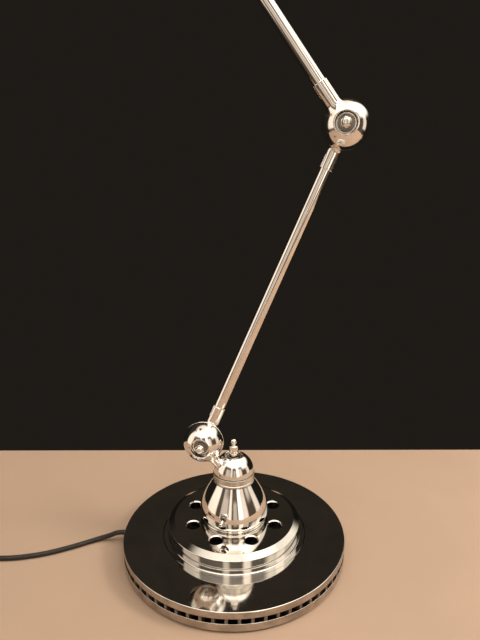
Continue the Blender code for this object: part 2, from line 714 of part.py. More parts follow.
def cord():
    """Gland in its vent, cord, coil's shape, tail and plug. Returns the gland's inner end."""
    outward = Vector((cos(EXIT_AZIMUTH), sin(EXIT_AZIMUTH), 0))
    middle = outward * GLAND_MIDDLE + Vector((0, 0, FACE_Z + EXIT_RISE))
    gland_frame = empty("gland_frame", None, middle, (0, 0, EXIT_AZIMUTH))
    gland = lathe([(0, -GLAND_HALF), (2.6 * MM, -GLAND_HALF), (2.7 * MM, GLAND_HALF), (0, GLAND_HALF)], 12)
    add_object("cord_gland", along_x(gland), "black_rubber", gland_frame)
    start = middle + outward * (GLAND_HALF + 2 * GAP)
    cable("cord", smooth_route([tuple(start)] + CORD_ROUTE, 2.2 * 2 * CORD), CORD, "black_rubber")

    coil = tube(COIL_INNER, COIL_OUTER, 0, COIL_HEIGHT, 24)
    add_object("cord_coil", coil, "black_rubber", location=COIL_CENTRE)
    away = Vector((cos(PLUG_HEADING), sin(PLUG_HEADING), 0))
    leaves_at = COIL_CENTRE + Vector((away.y, -away.x, 0)) * OUTER_TURN
    tail_start = leaves_at + away * coil_reach(CORD) + Vector((0, 0, COIL_HEIGHT - CORD - GAP))
    plug_start = leaves_at + away * PLUG_REACH + Vector((0, 0, PLUG_RISE))
    tail_end = plug_start - away * GAP
    drop = tail_end - tail_start
    tail = [tail_start]
    for share, fallen in ((0.2, 0.08), (0.4, 0.32), (0.6, 0.68), (0.8, 0.92), (1, 1)):
        tail.append(tail_start + Vector((drop.x * share, drop.y * share, drop.z * fallen)))
    cable("cord_tail", tail, CORD, "black_rubber")

    plug_frame = empty("plug_frame", None, plug_start, (0, 0, PLUG_HEADING))
    sections = [
        (0, PLUG_TAIL, PLUG_TAIL),
        (12 * MM, 4.2 * MM, 4 * MM),
        (19 * MM, 8 * MM, 5.6 * MM),
        (27 * MM, 12.6 * MM, 6.8 * MM),
        (PLUG_LENGTH - 1 * MM, 13 * MM, 6.9 * MM),
        (PLUG_LENGTH, 12.2 * MM, 6.1 * MM),
    ]
    add_object("plug_body", loft(sections, 20, 0.7), "black_plastic", plug_frame)
    for side, label in ((1, "left"), (-1, "right")):
        pin = along_x(rod(PIN, PLUG_LENGTH + GAP, PLUG_LENGTH + PIN_LENGTH, 12))
        add_object(f"plug_pin_{label}", pin, "brass", plug_frame, (0, side * PIN_OFFSET, 0))
    return middle - outward * (GLAND_HALF + GAP)


LEAD_ROUTE = [                # metres, heights above the friction face: under the hat, then up its bore
    (-0.0840, 0.0042, -0.0105),
    (-0.0600, 0.0025, -0.0102),
    (-0.0350, 0.0010, -0.0095),
    (-0.0160, 0.0001, -0.0090),
    (-0.0070, 0, -0.0072),
    (-0.0022, 0, -0.0038),
    (-0.0004, 0, 0),
    (0, 0, 0.0060),
    (0, 0, 0.0160),
    (0, 0, 0.0255),
    (-0.0004, -0.0012, 0.0296),
    (-0.0013, -0.0044, 0.0317),
    (-0.0025, -0.0088, 0.0318),
    (-0.0039, -0.0135, 0.0317),
]


def base_lead(gland_end, switch_end):
    """Insulated lead from the gland, under the hat, up through the nipple and over to the switch."""
    inside = [tuple(gland_end)]
    inside += [(x, y, FACE_Z + z) for x, y, z in LEAD_ROUTE]
    inside.append(tuple(switch_end))
    cable("base_lead", smooth_route(inside, 3 * LEAD), LEAD, "black_plastic")


# ---- assembly -----------------------------------------------------------------------------------
def in_plane(frame_name, parent, place, angle):
    """A joint frame in the arms' plane: X along the next member, Y on the joint's axis."""
    return empty(frame_name, parent, place, (0, -angle, 0))


base()
switch_end = housing()
swivel()
dome_centre = Vector((0, 0, FACE_Z + SWIVEL_RISE))
turret = empty("turret_frame", None, dome_centre, (0, 0, ARM_AZIMUTH))
shoulder_place = Vector((STUB_LENGTH * cos(STUB_ANGLE), 0, STUB_LENGTH * sin(STUB_ANGLE)))
stub_frame = in_plane("stub_frame", turret, shoulder_place, STUB_SLOPE)
shoulder = in_plane("shoulder_frame", turret, shoulder_place, LOWER_ANGLE)
base_knuckle(turret, shoulder, stub_frame)
arm("lower_arm", LOWER_LENGTH, 1, shoulder)
joint_hardware("shoulder", shoulder)
elbow_place = shoulder_place + LOWER_LENGTH * Vector((cos(LOWER_ANGLE), 0, sin(LOWER_ANGLE)))
elbow = in_plane("elbow_frame", turret, elbow_place, UPPER_ANGLE)
arm("upper_arm", UPPER_LENGTH, -1, elbow)
joint_hardware("elbow", elbow)
head_place = elbow_place + UPPER_LENGTH * Vector((cos(UPPER_ANGLE), 0, sin(UPPER_ANGLE)))
head_frame = in_plane("head_frame", turret, head_place, HEAD_ANGLE)
head(head_frame)
joint_hardware("head", head_frame)
gland_end = cord()
base_lead(gland_end, switch_end)
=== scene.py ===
"""Looks of the articulated desk lamp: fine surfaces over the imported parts, materials, cord, light, camera."""
import json
from math import atan2, cos, degrees, pi, radians, sin, tan

import bmesh
import bpy
import numpy as np
from mathutils import Matrix, Vector


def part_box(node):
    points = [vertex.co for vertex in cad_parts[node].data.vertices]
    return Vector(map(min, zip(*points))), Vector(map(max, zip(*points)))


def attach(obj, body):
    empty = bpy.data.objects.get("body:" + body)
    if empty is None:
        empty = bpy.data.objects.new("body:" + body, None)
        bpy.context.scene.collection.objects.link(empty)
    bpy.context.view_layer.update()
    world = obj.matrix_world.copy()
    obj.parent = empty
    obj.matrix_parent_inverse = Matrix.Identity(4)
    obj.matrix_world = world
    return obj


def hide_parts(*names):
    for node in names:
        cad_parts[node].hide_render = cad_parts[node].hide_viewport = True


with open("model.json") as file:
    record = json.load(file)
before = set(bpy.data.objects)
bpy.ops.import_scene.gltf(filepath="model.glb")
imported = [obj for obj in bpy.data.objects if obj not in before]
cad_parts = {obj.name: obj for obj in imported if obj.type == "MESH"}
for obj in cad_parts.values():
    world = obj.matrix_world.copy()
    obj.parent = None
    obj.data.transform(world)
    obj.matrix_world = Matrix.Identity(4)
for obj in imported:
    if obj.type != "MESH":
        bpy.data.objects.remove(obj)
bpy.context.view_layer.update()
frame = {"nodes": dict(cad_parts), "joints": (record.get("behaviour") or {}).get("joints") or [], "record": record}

MM = 0.001
JOINT = {joint["name"]: Vector(joint["pos_m"]) for joint in frame["joints"]}

# ---- dimensions shared with the frame ----
PAD_THICKNESS = 2 * MM
DISC_THICKNESS = 22 * MM
DISC_RADIUS = 128 * MM
GAP = 0.3 * MM
FACE_Z = PAD_THICKNESS + GAP + DISC_THICKNESS
UPPER_PLATE = 7.6 * MM
VENT_HEIGHT = 5.8 * MM
VENT_COUNT = 62
VANE_SHARE = 0.24
VANE_SETBACK = 1.2 * MM
LOWER_PLATE_BORE = 84 * MM
FRICTION_BORE = 83 * MM
HAT_RADIUS = 76 * MM
HAT_TOP_RADIUS = 69 * MM
HAT_RISE = 18 * MM
HAT_CHAMFER = 3.8 * MM
HAT_WALL = 7 * MM
CENTRE_BORE = 32.5 * MM
BOLT_CIRCLE = 50 * MM
BOLT_HOLE = 7.3 * MM
BOLT_COUNT = 8

BALL = 23 * MM
SWIVEL_RISE = 75 * MM
STUB_LENGTH = 49 * MM
STUB_ANGLE = radians(135)
STUB_RADIUS = 5.3 * MM
STUB_START = 18.2 * MM
STUB_END = 31 * MM
STUB_SLOPE = radians(-49)
TUBE = 6.25 * MM
TUBE_WALL = 1.25 * MM
SLEEVE = 7.5 * MM
SLEEVE_START = 10 * MM
SLEEVE_END = 44 * MM
SLEEVE_FLOOR = 30 * MM
SIDE_OFFSET = 9 * MM
HALF_FACE = 0.2 * MM
RECESS_RADIUS = 17 * MM
RECESS_DEPTH = 6.5 * MM
COUNTERBORE = 9.5 * MM
COUNTERBORE_FLOOR = 13.5 * MM
JOINT_BOLT = 3 * MM
NECK_RADIUS = 23.5 * MM
NECK_BOTTOM = 65.3 * MM
NECK_TOP = SWIVEL_RISE - 0.3 * MM
STUD = 4 * MM
CORD = 2.75 * MM

ON_FACE = Matrix.Translation((0, 0, FACE_Z))
swivel_place = Vector((0, 0, FACE_Z + SWIVEL_RISE))
heading = JOINT["elbow"] - JOINT["shoulder"]
ARM_AZIMUTH = atan2(heading.y, heading.x)


def beside(side):
    """From a joint's middle plane to the sleeves and tubes of one half: -1 in front, 1 behind."""
    return Matrix.Translation((0, side * SIDE_OFFSET, 0))


def in_plane(place, angle):
    """A frame in the arms' plane: X along a member at this angle, Y on the joints' axis, to the back."""
    return (Matrix.Translation(place) @ Matrix.Rotation(ARM_AZIMUTH, 4, "Z")
            @ Matrix.Rotation(-angle, 4, "Y"))


def angle_of(start, end):
    """Angle above the horizon of a line in the arms' plane, seen from the front."""
    along = end - start
    return atan2(along.z, along.x * cos(ARM_AZIMUTH) + along.y * sin(ARM_AZIMUTH))


HEAD_ANGLE = radians(245)
LOWER_LENGTH = (JOINT["elbow"] - JOINT["shoulder"]).length
UPPER_LENGTH = (JOINT["head_tilt"] - JOINT["elbow"]).length
lower_frame = in_plane(JOINT["shoulder"], angle_of(JOINT["shoulder"], JOINT["elbow"]))
upper_frame = in_plane(JOINT["elbow"], angle_of(JOINT["elbow"], JOINT["head_tilt"]))
head_frame = in_plane(JOINT["head_tilt"], HEAD_ANGLE)
turret_frame = Matrix.Translation(swivel_place) @ Matrix.Rotation(ARM_AZIMUTH, 4, "Z")
FLIP = Matrix.Rotation(pi, 4, "Z")
ALONG_X = Matrix.Rotation(pi / 2, 4, "Y")
TO_FRONT = Matrix.Rotation(pi / 2, 4, "X")       # a part made along Z runs towards the front
TO_BACK = Matrix.Rotation(-pi / 2, 4, "X")
upper_end_frame = upper_frame @ Matrix.Translation((UPPER_LENGTH, 0, 0)) @ FLIP
lower_end_frame = lower_frame @ Matrix.Translation((LOWER_LENGTH, 0, 0)) @ FLIP


# ---- scene tools ----
def placed(name, data, matrix=Matrix.Identity(4)):
    """A new object of this data, at its place in the scene."""
    obj = bpy.data.objects.new(name, data)
    bpy.context.scene.collection.objects.link(obj)
    obj.matrix_world = matrix
    return obj


def mesh_of(name, bm):
    """The finished mesh of a bmesh, which is freed."""
    mesh = bpy.data.meshes.new(name)
    bm.to_mesh(mesh)
    bm.free()
    return mesh


# ---- camera ----
EYE = (0.0073, -0.5411, 0.4131)
PITCH_DOWN = radians(14.1)
ROLL = radians(-0.1)
FOCAL_LENGTH = 29.53         # millimetres, as are the sensor's 36


def add_camera():
    camera = bpy.data.cameras.new("camera")
    camera.lens = FOCAL_LENGTH
    camera.sensor_width = 36
    camera.clip_start = 0.01
    camera.clip_end = 50
    turn = Matrix.Rotation(pi / 2 - PITCH_DOWN, 4, "X") @ Matrix.Rotation(ROLL, 4, "Z")
    bpy.context.scene.camera = placed("camera", camera, Matrix.Translation(EYE) @ turn)


add_camera()


# ---- material tools ----
class Nodes:
    """Short calls to add nodes to a shader tree."""

    def __init__(self, owner):
        owner.use_nodes = True
        self.tree = owner.node_tree

    def add(self, kind, **settings):
        node = self.tree.nodes.new("ShaderNode" + kind)
        for key, value in settings.items():
            setattr(node, key, value)
        return node

    def put(self, socket, value):
        """Set a socket, or link it when the value is another node's output."""
        if isinstance(value, bpy.types.NodeSocket):
            self.tree.links.new(value, socket)
        else:
            socket.default_value = (*value, 1) if socket.type == "RGBA" else value

    def fill(self, node, **values):
        """Set or link a node's inputs by name; an underscore stands for a space."""
        for key, value in values.items():
            self.put(node.inputs[key.replace("_", " ")], value)
        return node

    def sums(self, operation, first, second=0.0):
        node = self.add("Math", operation=operation)
        self.put(node.inputs[0], first)
        self.put(node.inputs[1], second)
        return node.outputs["Value"]

    def spread(self, value, low, high, to_low=0.0, to_high=1.0):
        """Carry the range from low to high smoothly over to another one."""
        node = self.add("MapRange", interpolation_type="SMOOTHSTEP")
        self.fill(node, Value=value, From_Min=low, From_Max=high, To_Min=to_low, To_Max=to_high)
        return node.outputs["Result"]

    def mix(self, share, first, second):
        node = self.fill(self.add("Mix", data_type="RGBA"), Factor=share)
        self.put(node.inputs[6], first)
        self.put(node.inputs[7], second)
        return node.outputs[2]


class Paint(Nodes):
    """A material whose patterns lie in the object's own coordinates."""

    def __init__(self, name):
        self.material = bpy.data.materials.new(name)
        super().__init__(self.material)
        self.place = self.add("TexCoord").outputs["Object"]

    def finish(self, **values):
        """Fill the shader's own inputs and hand over the material."""
        self.fill(self.tree.nodes["Principled BSDF"], **values)
        return self.material

    def stretched(self, scale):
        return self.fill(self.add("Mapping"), Vector=self.place, Scale=scale).outputs["Vector"]

    def noise(self, scale, detail=3, rough=0.5, source=None, warp=0.0):
        return self.fill(self.add("TexNoise"), Vector=source or self.place, Scale=scale,
                         Detail=detail, Roughness=rough, Distortion=warp).outputs["Fac"]

    def cells(self, scale):
        return self.fill(self.add("TexVoronoi"), Vector=self.place, Scale=scale).outputs["Distance"]

    def bump(self, height, strength, distance, **under):
        """A bumped normal; under may hold the Normal it's added to."""
        return self.fill(self.add("Bump"), Height=height, Strength=strength, Distance=distance,
                         **under).outputs["Normal"]

    def around(self, turns, rings):
        """Coordinates that follow a turned surface: radius, angle and height about the piece's own Z."""
        apart = self.fill(self.add("SeparateXYZ"), Vector=self.place)
        x, y, z = (apart.outputs[k] for k in "XYZ")
        radius = self.sums("SQRT", self.sums("ADD", self.sums("MULTIPLY", x, x), self.sums("MULTIPLY", y, y)))
        return self.fill(self.add("CombineXYZ"), X=self.sums("MULTIPLY", radius, rings),
                         Y=self.sums("MULTIPLY", self.sums("ARCTAN2", y, x), turns),
                         Z=self.sums("MULTIPLY", z, rings)).outputs["Vector"]


def chrome(name, low=0.035, high=0.13, wave=0.012 * MM, grain=(1, 1, 1)):
    """Polished plating: uneven lustre, wiping marks, hairline scratches and slightly wavy castings."""
    paint = Paint(name)
    film = paint.noise(140, 3, 0.65, warp=0.6)
    hair = paint.noise(90, 2, 0.7, source=paint.stretched(grain))
    return paint.finish(
        Base_Color=paint.mix(paint.spread(paint.noise(55, 4, 0.6), 0.35, 0.75), (0.84, 0.81, 0.77),
                             (0.74, 0.70, 0.65)),
        Metallic=1.0,
        Roughness=paint.sums("ADD", paint.spread(film, 0.3, 0.8, low, high),
                             paint.sums("MULTIPLY", paint.spread(hair, 0.62, 0.70), 0.05)),
        Normal=paint.bump(hair, 0.08, 0.01 * MM, Normal=paint.bump(paint.noise(70, 1, 0.4), 1.0, wave)))


def disc_metal():
    """Plated disc: dark polish, turning marks round the axis, wiping arcs, dust and small pits."""
    paint = Paint("disc_metal")
    marks = paint.noise(1.0, 3, 0.6, source=paint.around(1.5, 900))
    bands = paint.noise(1.0, 3, 0.55, source=paint.around(2.2, 160))
    cloud = paint.noise(22, 4, 0.6, warp=0.8)
    specks = paint.sums("MULTIPLY", paint.spread(paint.cells(420), 0.03, 0.10, 1.0, 0.0),
                        paint.spread(paint.noise(70, 2), 0.5, 0.62))
    tone = paint.mix(paint.spread(cloud, 0.3, 0.75), (0.62, 0.60, 0.57), (0.50, 0.48, 0.45))
    rough = paint.sums("ADD", paint.spread(bands, 0.3, 0.75, 0.035, 0.075),
                       paint.spread(marks, 0.35, 0.75, 0.0, 0.03))
    return paint.finish(
        Base_Color=paint.mix(paint.sums("MULTIPLY", specks, 0.5), tone, (0.78, 0.75, 0.7)),
        Metallic=1.0,
        Roughness=paint.sums("ADD", rough, paint.sums("MULTIPLY", specks, 0.25)),
        Normal=paint.bump(marks, 0.12, 0.004 * MM, Normal=paint.bump(cloud, 0.5, 0.02 * MM)))


def satin_nickel():
    """Fine-turned satin ring."""
    paint = Paint("satin_nickel")
    marks = paint.noise(1.0, 3, 0.7, source=paint.around(0.8, 2600))
    return paint.finish(
        Base_Color=paint.mix(paint.spread(paint.noise(60, 3, 0.6), 0.3, 0.7), (0.66, 0.61, 0.55),
                             (0.56, 0.51, 0.45)),
        Metallic=1.0,
        Roughness=paint.spread(marks, 0.3, 0.8, 0.22, 0.42),
        Normal=paint.bump(marks, 0.3, 0.02 * MM))


def metal(name, light, dark, low, high, scale=120, turned=False):
    """Machined or plated metal with uneven lustre and turning marks."""
    paint = Paint(name)
    cloud = paint.noise(scale, 4, 0.6)
    source = paint.around(0.7, 2200) if turned else None
    marks = paint.noise(1.0 if turned else scale * 5, 3, 0.6, source=source)
    return paint.finish(
        Base_Color=paint.mix(paint.spread(cloud, 0.3, 0.7), light, dark), Metallic=1.0,
        Roughness=paint.spread(marks, 0.3, 0.8, low, high), Normal=paint.bump(marks, 0.25, 0.02 * MM))


def moulded(name, light, dark, low, high, grain=700, depth=0.03 * MM, warp=0.0, coat=0.0):
    """Moulded plastic, rubber or glaze: mottled colour, uneven gloss and a fine moulded grain."""
    paint = Paint(name)
    cloud = paint.noise(90, 4, 0.6, warp=warp)
    return paint.finish(
        Base_Color=paint.mix(paint.spread(cloud, 0.35, 0.68), light, dark),
        Roughness=paint.spread(cloud, 0.3, 0.75, low, high), Coat_Weight=coat,
        Normal=paint.bump(paint.noise(grain, 2, 0.6), 0.35, depth))


def felt():
    """Pressed wool with short fibres."""
    paint = Paint("felt")
    fibres = paint.noise(1.0, 4, 0.7, source=paint.stretched((2600, 900, 2600)), warp=1.2)
    return paint.finish(
        Base_Color=paint.mix(fibres, (0.018, 0.018, 0.018), (0.075, 0.072, 0.068)), Sheen_Weight=0.4,
        Roughness=paint.spread(paint.noise(120, 4, 0.6), 0.3, 0.7, 0.85, 0.98),
        Normal=paint.bump(fibres, 0.8, 0.25 * MM))


def cord_rubber():
    """Smooth black cord jacket, a little scuffed."""
    paint = Paint("cord_rubber")
    scuff = paint.noise(260, 4, 0.7)
    return paint.finish(
        Base_Color=paint.mix(paint.spread(scuff, 0.45, 0.75), (0.013, 0.011, 0.010), (0.028, 0.024, 0.021)),
        Roughness=paint.spread(paint.noise(45, 3, 0.6), 0.3, 0.7, 0.40, 0.58), Specular_IOR_Level=0.3,
        Normal=paint.bump(scuff, 0.3, 0.04 * MM))


def opal_glass():
    """White inside frosting under clear gloss."""
    paint = Paint("opal_glass")
    cloud = paint.noise(70, 3, 0.5)
    return paint.finish(
        Base_Color=paint.mix(paint.spread(cloud, 0.3, 0.7), (0.90, 0.89, 0.86), (0.84, 0.82, 0.78)),
        Roughness=paint.spread(cloud, 0.3, 0.7, 0.10, 0.2), Subsurface_Weight=0.35, Subsurface_Scale=0.004,
        Coat_Weight=0.6, Coat_Roughness=0.04, Normal=paint.bump(cloud, 0.1, 0.02 * MM))


LOOK = {
    "disc_metal": disc_metal(),
    "chrome": chrome("chrome"),
    "tube_chrome": chrome("tube_chrome", low=0.03, high=0.10, wave=0.003 * MM, grain=(14, 14, 0.6)),
    "cast_chrome": chrome("cast_chrome", low=0.07, high=0.19, wave=0.02 * MM),
    "housing_chrome": chrome("housing_chrome", low=0.03, high=0.11, wave=0.02 * MM),
    "satin_nickel": satin_nickel(),
    # zinc_steel: the springs and joint washers sit deep in the counterbores, and their dark colour is painted
    # shade of the counterbores
    "zinc_steel": metal("zinc_steel", (0.30, 0.27, 0.24), (0.20, 0.18, 0.16), 0.30, 0.50, turned=True),
    "rim_metal": metal("rim_metal", (0.56, 0.51, 0.46), (0.36, 0.32, 0.28), 0.10, 0.30, scale=60),
    "raw_iron": metal("raw_iron", (0.30, 0.25, 0.20), (0.17, 0.14, 0.11), 0.55, 0.75, scale=260),
    "brass": metal("brass", (0.78, 0.60, 0.28), (0.66, 0.47, 0.20), 0.2, 0.4, turned=True),
    "bakelite": moulded("bakelite", (0.075, 0.040, 0.025), (0.030, 0.017, 0.012), 0.22, 0.38, warp=1.5,
                        coat=0.3),
    "black_plastic": moulded("black_plastic", (0.022, 0.022, 0.023), (0.014, 0.014, 0.015), 0.32, 0.46),
    "cord_rubber": cord_rubber(),
    "felt": felt(),
    "porcelain": moulded("porcelain", (0.86, 0.84, 0.79), (0.80, 0.77, 0.70), 0.12, 0.22, grain=300,
                         depth=0.02 * MM, coat=0.5),
    "opal_glass": opal_glass(),
    "reflector": moulded("reflector", (0.86, 0.85, 0.81), (0.80, 0.78, 0.73), 0.25, 0.38, grain=500),
}


# ---- shape tools ----
SHARP_ANGLE = radians(38)


def outline(corners, steps=5):
    """A closed section from corners (radius, height) or (radius, height, fillet), fillets as arcs."""
    points = []
    for i, corner in enumerate(corners):
        place = Vector(corner[:2])
        fillet = corner[2] if len(corner) > 2 else 0
        if not fillet:
            points.append(tuple(place))
            continue
        before = Vector(corners[i - 1][:2]) - place
        after = Vector(corners[(i + 1) % len(corners)][:2]) - place
        half = before.angle(after) / 2
        cut = min(fillet / tan(half), 0.48 * before.length, 0.48 * after.length)
        radius = cut * tan(half)
        centre = place + (before.normalized() + after.normalized()).normalized() * (radius / sin(half))
        start = place + before.normalized() * cut - centre
        end = place + after.normalized() * cut - centre
        first = atan2(start.y, start.x)
        sweep = (atan2(end.y, end.x) - first + pi) % (2 * pi) - pi
        for k in range(steps + 1):
            turn = first + sweep * k / steps
            points.append((centre.x + radius * cos(turn), centre.y + radius * sin(turn)))
    return points


def raised(level, *corners):
    """Corners in millimetres, each above a level in metres, for outline()."""
    return [(radius * MM, level + height * MM, *(size * MM for size in fillet))
            for radius, height, *fillet in corners]


def arc(centre, radius, start, end, count):
    """Points of a circular arc in a section; angles in degrees."""
    points = []
    for i in range(count + 1):
        angle = radians(start + (end - start) * i / count)
        points.append((centre[0] + radius * cos(angle), centre[1] + radius * sin(angle)))
    return points


def eased(share):
    """0 to 1 with a smooth start and end."""
    return share * share * (3 - 2 * share)


def skinned(bm, rings, closed=True):
    """Join rings of equally many points by faces; where points coincide, a triangle is left."""
    for ring, after in zip(rings, rings[1:] + (rings[:1] if closed else [])):
        for i in range(len(ring)):
            j = (i + 1) % len(ring)
            corners = list(dict.fromkeys((ring[i], ring[j], after[j], after[i])))
            if len(corners) > 2:
                bm.faces.new(corners)
    bmesh.ops.recalc_face_normals(bm, faces=bm.faces)
    return bm


def lathe(section, steps=96, shape=None):
    """Spin a closed section about Z. shape(radius, height, angle) may change each radius."""
    bm = bmesh.new()
    rings = []
    for radius, height in section:
        if radius < 1e-6:
            rings.append([bm.verts.new((0, 0, height))] * steps)
            continue
        ring = []
        for i in range(steps):
            angle = 2 * pi * i / steps
            r = shape(radius, height, angle) if shape else radius
            ring.append(bm.verts.new((r * cos(angle), r * sin(angle), height)))
        rings.append(ring)
    return skinned(bm, rings)


def hexed(flats):
    """Shape for a lathe that keeps the section inside a hexagon of this width across its flats."""
    def cut(radius, height, angle):
        local = (angle + pi / 6) % (pi / 3) - pi / 6
        return min(radius, flats / 2 / cos(local))
    return cut


def even_normals(obj):
    weighted = obj.modifiers.new("even_normals", "WEIGHTED_NORMAL")
    weighted.keep_sharp = True
    weighted.weight = 90


def piece(name, shape, look, body, nodes, matrix=Matrix.Identity(4), even=True):
    """Make the object, give it a look, let it ride and stand for its CAD nodes."""
    if isinstance(shape, bpy.types.Mesh):
        mesh = shape
    else:
        mesh = mesh_of(name, shape)
        mesh.shade_smooth()
        mesh.set_sharp_from_angle(angle=SHARP_ANGLE)
    mesh.materials.append(LOOK[look])
    obj = placed(name, mesh, matrix)
    if even:
        even_normals(obj)
    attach(obj, body)
    if nodes:
        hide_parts(*nodes)
    return obj


def turned(node, section, look="chrome", body="base", matrix=Matrix.Identity(4), steps=72, shape=None,
           slot=None):
    """A turned piece that stands for one CAD node."""
    return piece(node + "_fine", lathe(section, steps, shape), look, body, [node], matrix)


def second_look(obj, look, where):
    """Give the faces for which where(centre, normal) is true another look."""
    obj.data.materials.append(LOOK[look])
    index = len(obj.data.materials) - 1
    for face in obj.data.polygons:
        if where(face.center, face.normal):
            face.material_index = index


# ---- surfaces made from distance fields ----
def soft_min(a, b, k):
    """Union of two fields with a fillet of about k."""
    h = np.maximum(k - np.abs(a - b), 0) / k
    return np.minimum(a, b) - h * h * k / 4


def soft_max(a, b, k):
    return -soft_min(-a, -b, k)


def drum(points, axis, radius, low, high, edge):
    """Distance to a cylinder along one axis between two levels, its edges rounded."""
    across = [i for i in range(3) if i != axis]
    out = np.hypot(points[:, across[0]], points[:, across[1]]) - radius
    ends = np.maximum(low - points[:, axis], points[:, axis] - high)
    return soft_max(out, ends, edge)


GRID_STEP = 0.8 * MM


def cropped(grid, *spans):
    """Part of a grid, from start to stop along each axis that spans name."""
    cut = [slice(None)] * 3
    for axis, start, stop in spans:
        cut[axis] = slice(start, stop)
    return grid[tuple(cut)]


def surface_of(name, field, low, high, step=GRID_STEP):
    """Quad mesh of the surface where the field is zero, with its points on the surface and exact normals."""
    low = np.array(low, float)
    counts = np.ceil((np.array(high) - low) / step).astype(int) + 1
    axes = [low[i] + step * np.arange(counts[i]) for i in range(3)]
    grid = np.stack(np.meshgrid(*axes, indexing="ij"), -1)
    value = field(grid.reshape(-1, 3)).reshape(counts)
    cells = counts - 1
    total = np.zeros((*cells, 3))
    hits = np.zeros(cells)
    crossings = []
    for a in range(3):
        v0, v1 = cropped(value, (a, 0, -1)), cropped(value, (a, 1, None))
        crossed = (v0 < 0) != (v1 < 0)
        share = np.where(crossed, v0 / np.where(crossed, v0 - v1, 1), 0)
        point = cropped(grid, (a, 0, -1)).copy()
        point[..., a] += share * step
        b, c = [i for i in range(3) if i != a]
        for sb in (0, 1):
            for sc in (0, 1):
                part = ((b, sb, sb + cells[b]), (c, sc, sc + cells[c]))
                mask = cropped(crossed, *part)
                total += cropped(point, *part) * mask[..., None]
                hits += mask
        crossings.append((a, b, c, crossed, v0 < 0))
    active = hits > 0
    index = np.full(cells, -1)
    index[active] = np.arange(active.sum())
    points = total[active] / hits[active][:, None]
    tiny = step * 0.02

    def slope(at):
        parts = []
        for a in range(3):
            shift = np.zeros(3)
            shift[a] = tiny
            parts.append((field(at + shift) - field(at - shift)) / (2 * tiny))
        return np.stack(parts, 1)

    for _ in range(5):
        g = slope(points)
        move = (field(points) / np.maximum((g ** 2).sum(1), 0.05))[:, None] * g
        reach = np.linalg.norm(move, axis=1, keepdims=True)
        points = points - move * np.minimum(1, 0.6 * step / np.maximum(reach, 1e-12))
    quads = []
    for a, b, c, crossed, inside in crossings:
        where = np.argwhere(cropped(crossed, (b, 1, -1), (c, 1, -1)))
        where[:, b] += 1
        where[:, c] += 1
        flip = inside[tuple(where.T)]
        corners = []
        for sb, sc in ((-1, -1), (0, -1), (0, 0), (-1, 0)):
            at = where.copy()
            at[:, b] += sb
            at[:, c] += sc
            corners.append(index[tuple(at.T)])
        quad = np.stack(corners, 1)
        if a == 1:
            flip = ~flip
        quad[~flip] = quad[~flip][:, ::-1]
        quads.append(quad)
    mesh = bpy.data.meshes.new(name)
    mesh.from_pydata(points.tolist(), [], np.concatenate(quads).tolist())
    mesh.validate()
    mesh.shade_smooth()
    normal = slope(points)
    normal /= np.linalg.norm(normal, axis=1, keepdims=True)
    mesh.normals_split_custom_set_from_vertices(normal.tolist())
    return mesh, points, normal


def mirrored(name, points, normal, mesh):
    """The same surface on the other side of the joint's middle plane."""
    flat = np.zeros(len(mesh.loops), int)
    mesh.loops.foreach_get("vertex_index", flat)
    other = bpy.data.meshes.new(name)
    turn = np.array([1, -1, 1])
    other.from_pydata((points * turn).tolist(), [], flat.reshape(-1, 4)[:, ::-1].tolist())
    other.shade_smooth()
    other.normals_split_custom_set_from_vertices((normal * turn).tolist())
    return other


def hollows(body, points, axis, sign, rim=2.4 * MM):
    """Cut a half ball's counterbore, with a rounded rim outside, and the recess inside."""
    upright = points.copy()
    upright[:, axis] = points[:, axis] * sign
    pit = drum(upright, axis, COUNTERBORE, COUNTERBORE_FLOOR, 2 * BALL, 0.8 * MM)
    recess = drum(upright, axis, RECESS_RADIUS, -BALL, RECESS_DEPTH, 0.8 * MM)
    return soft_max(soft_max(body, -pit, rim), -recess, 0.7 * MM)


def half_ball_field(points, axis, sign, bolt):
    """Half a ball on one side of its middle plane, hollowed, with a hole for its bolt."""
    ball = np.linalg.norm(points, axis=1) - BALL
    half = hollows(soft_max(ball, HALF_FACE - points[:, axis] * sign, 0.7 * MM), points, axis, sign, 1.8 * MM)
    return soft_max(half, -drum(points, axis, bolt + 0.4 * MM, -BALL, BALL, 0.5 * MM), 0.7 * MM)


def knuckle_field(points):
    """Back half of a ball joint with the sleeve for its tube along X."""
    aside = points - np.array([0, SIDE_OFFSET, 0])
    sleeve = drum(aside, 0, SLEEVE, SLEEVE_START, SLEEVE_END, 0.9 * MM)
    body = soft_min(half_ball_field(points, 1, 1, JOINT_BOLT), sleeve, 3.5 * MM)
    body = soft_max(body, -drum(aside, 0, TUBE + GAP, SLEEVE_FLOOR, 2 * SLEEVE_END, 0.5 * MM), 0.6 * MM)
    body = soft_max(body, HALF_FACE - points[:, 1], 0.6 * MM)
    return hollows(body, points, 1, 1)


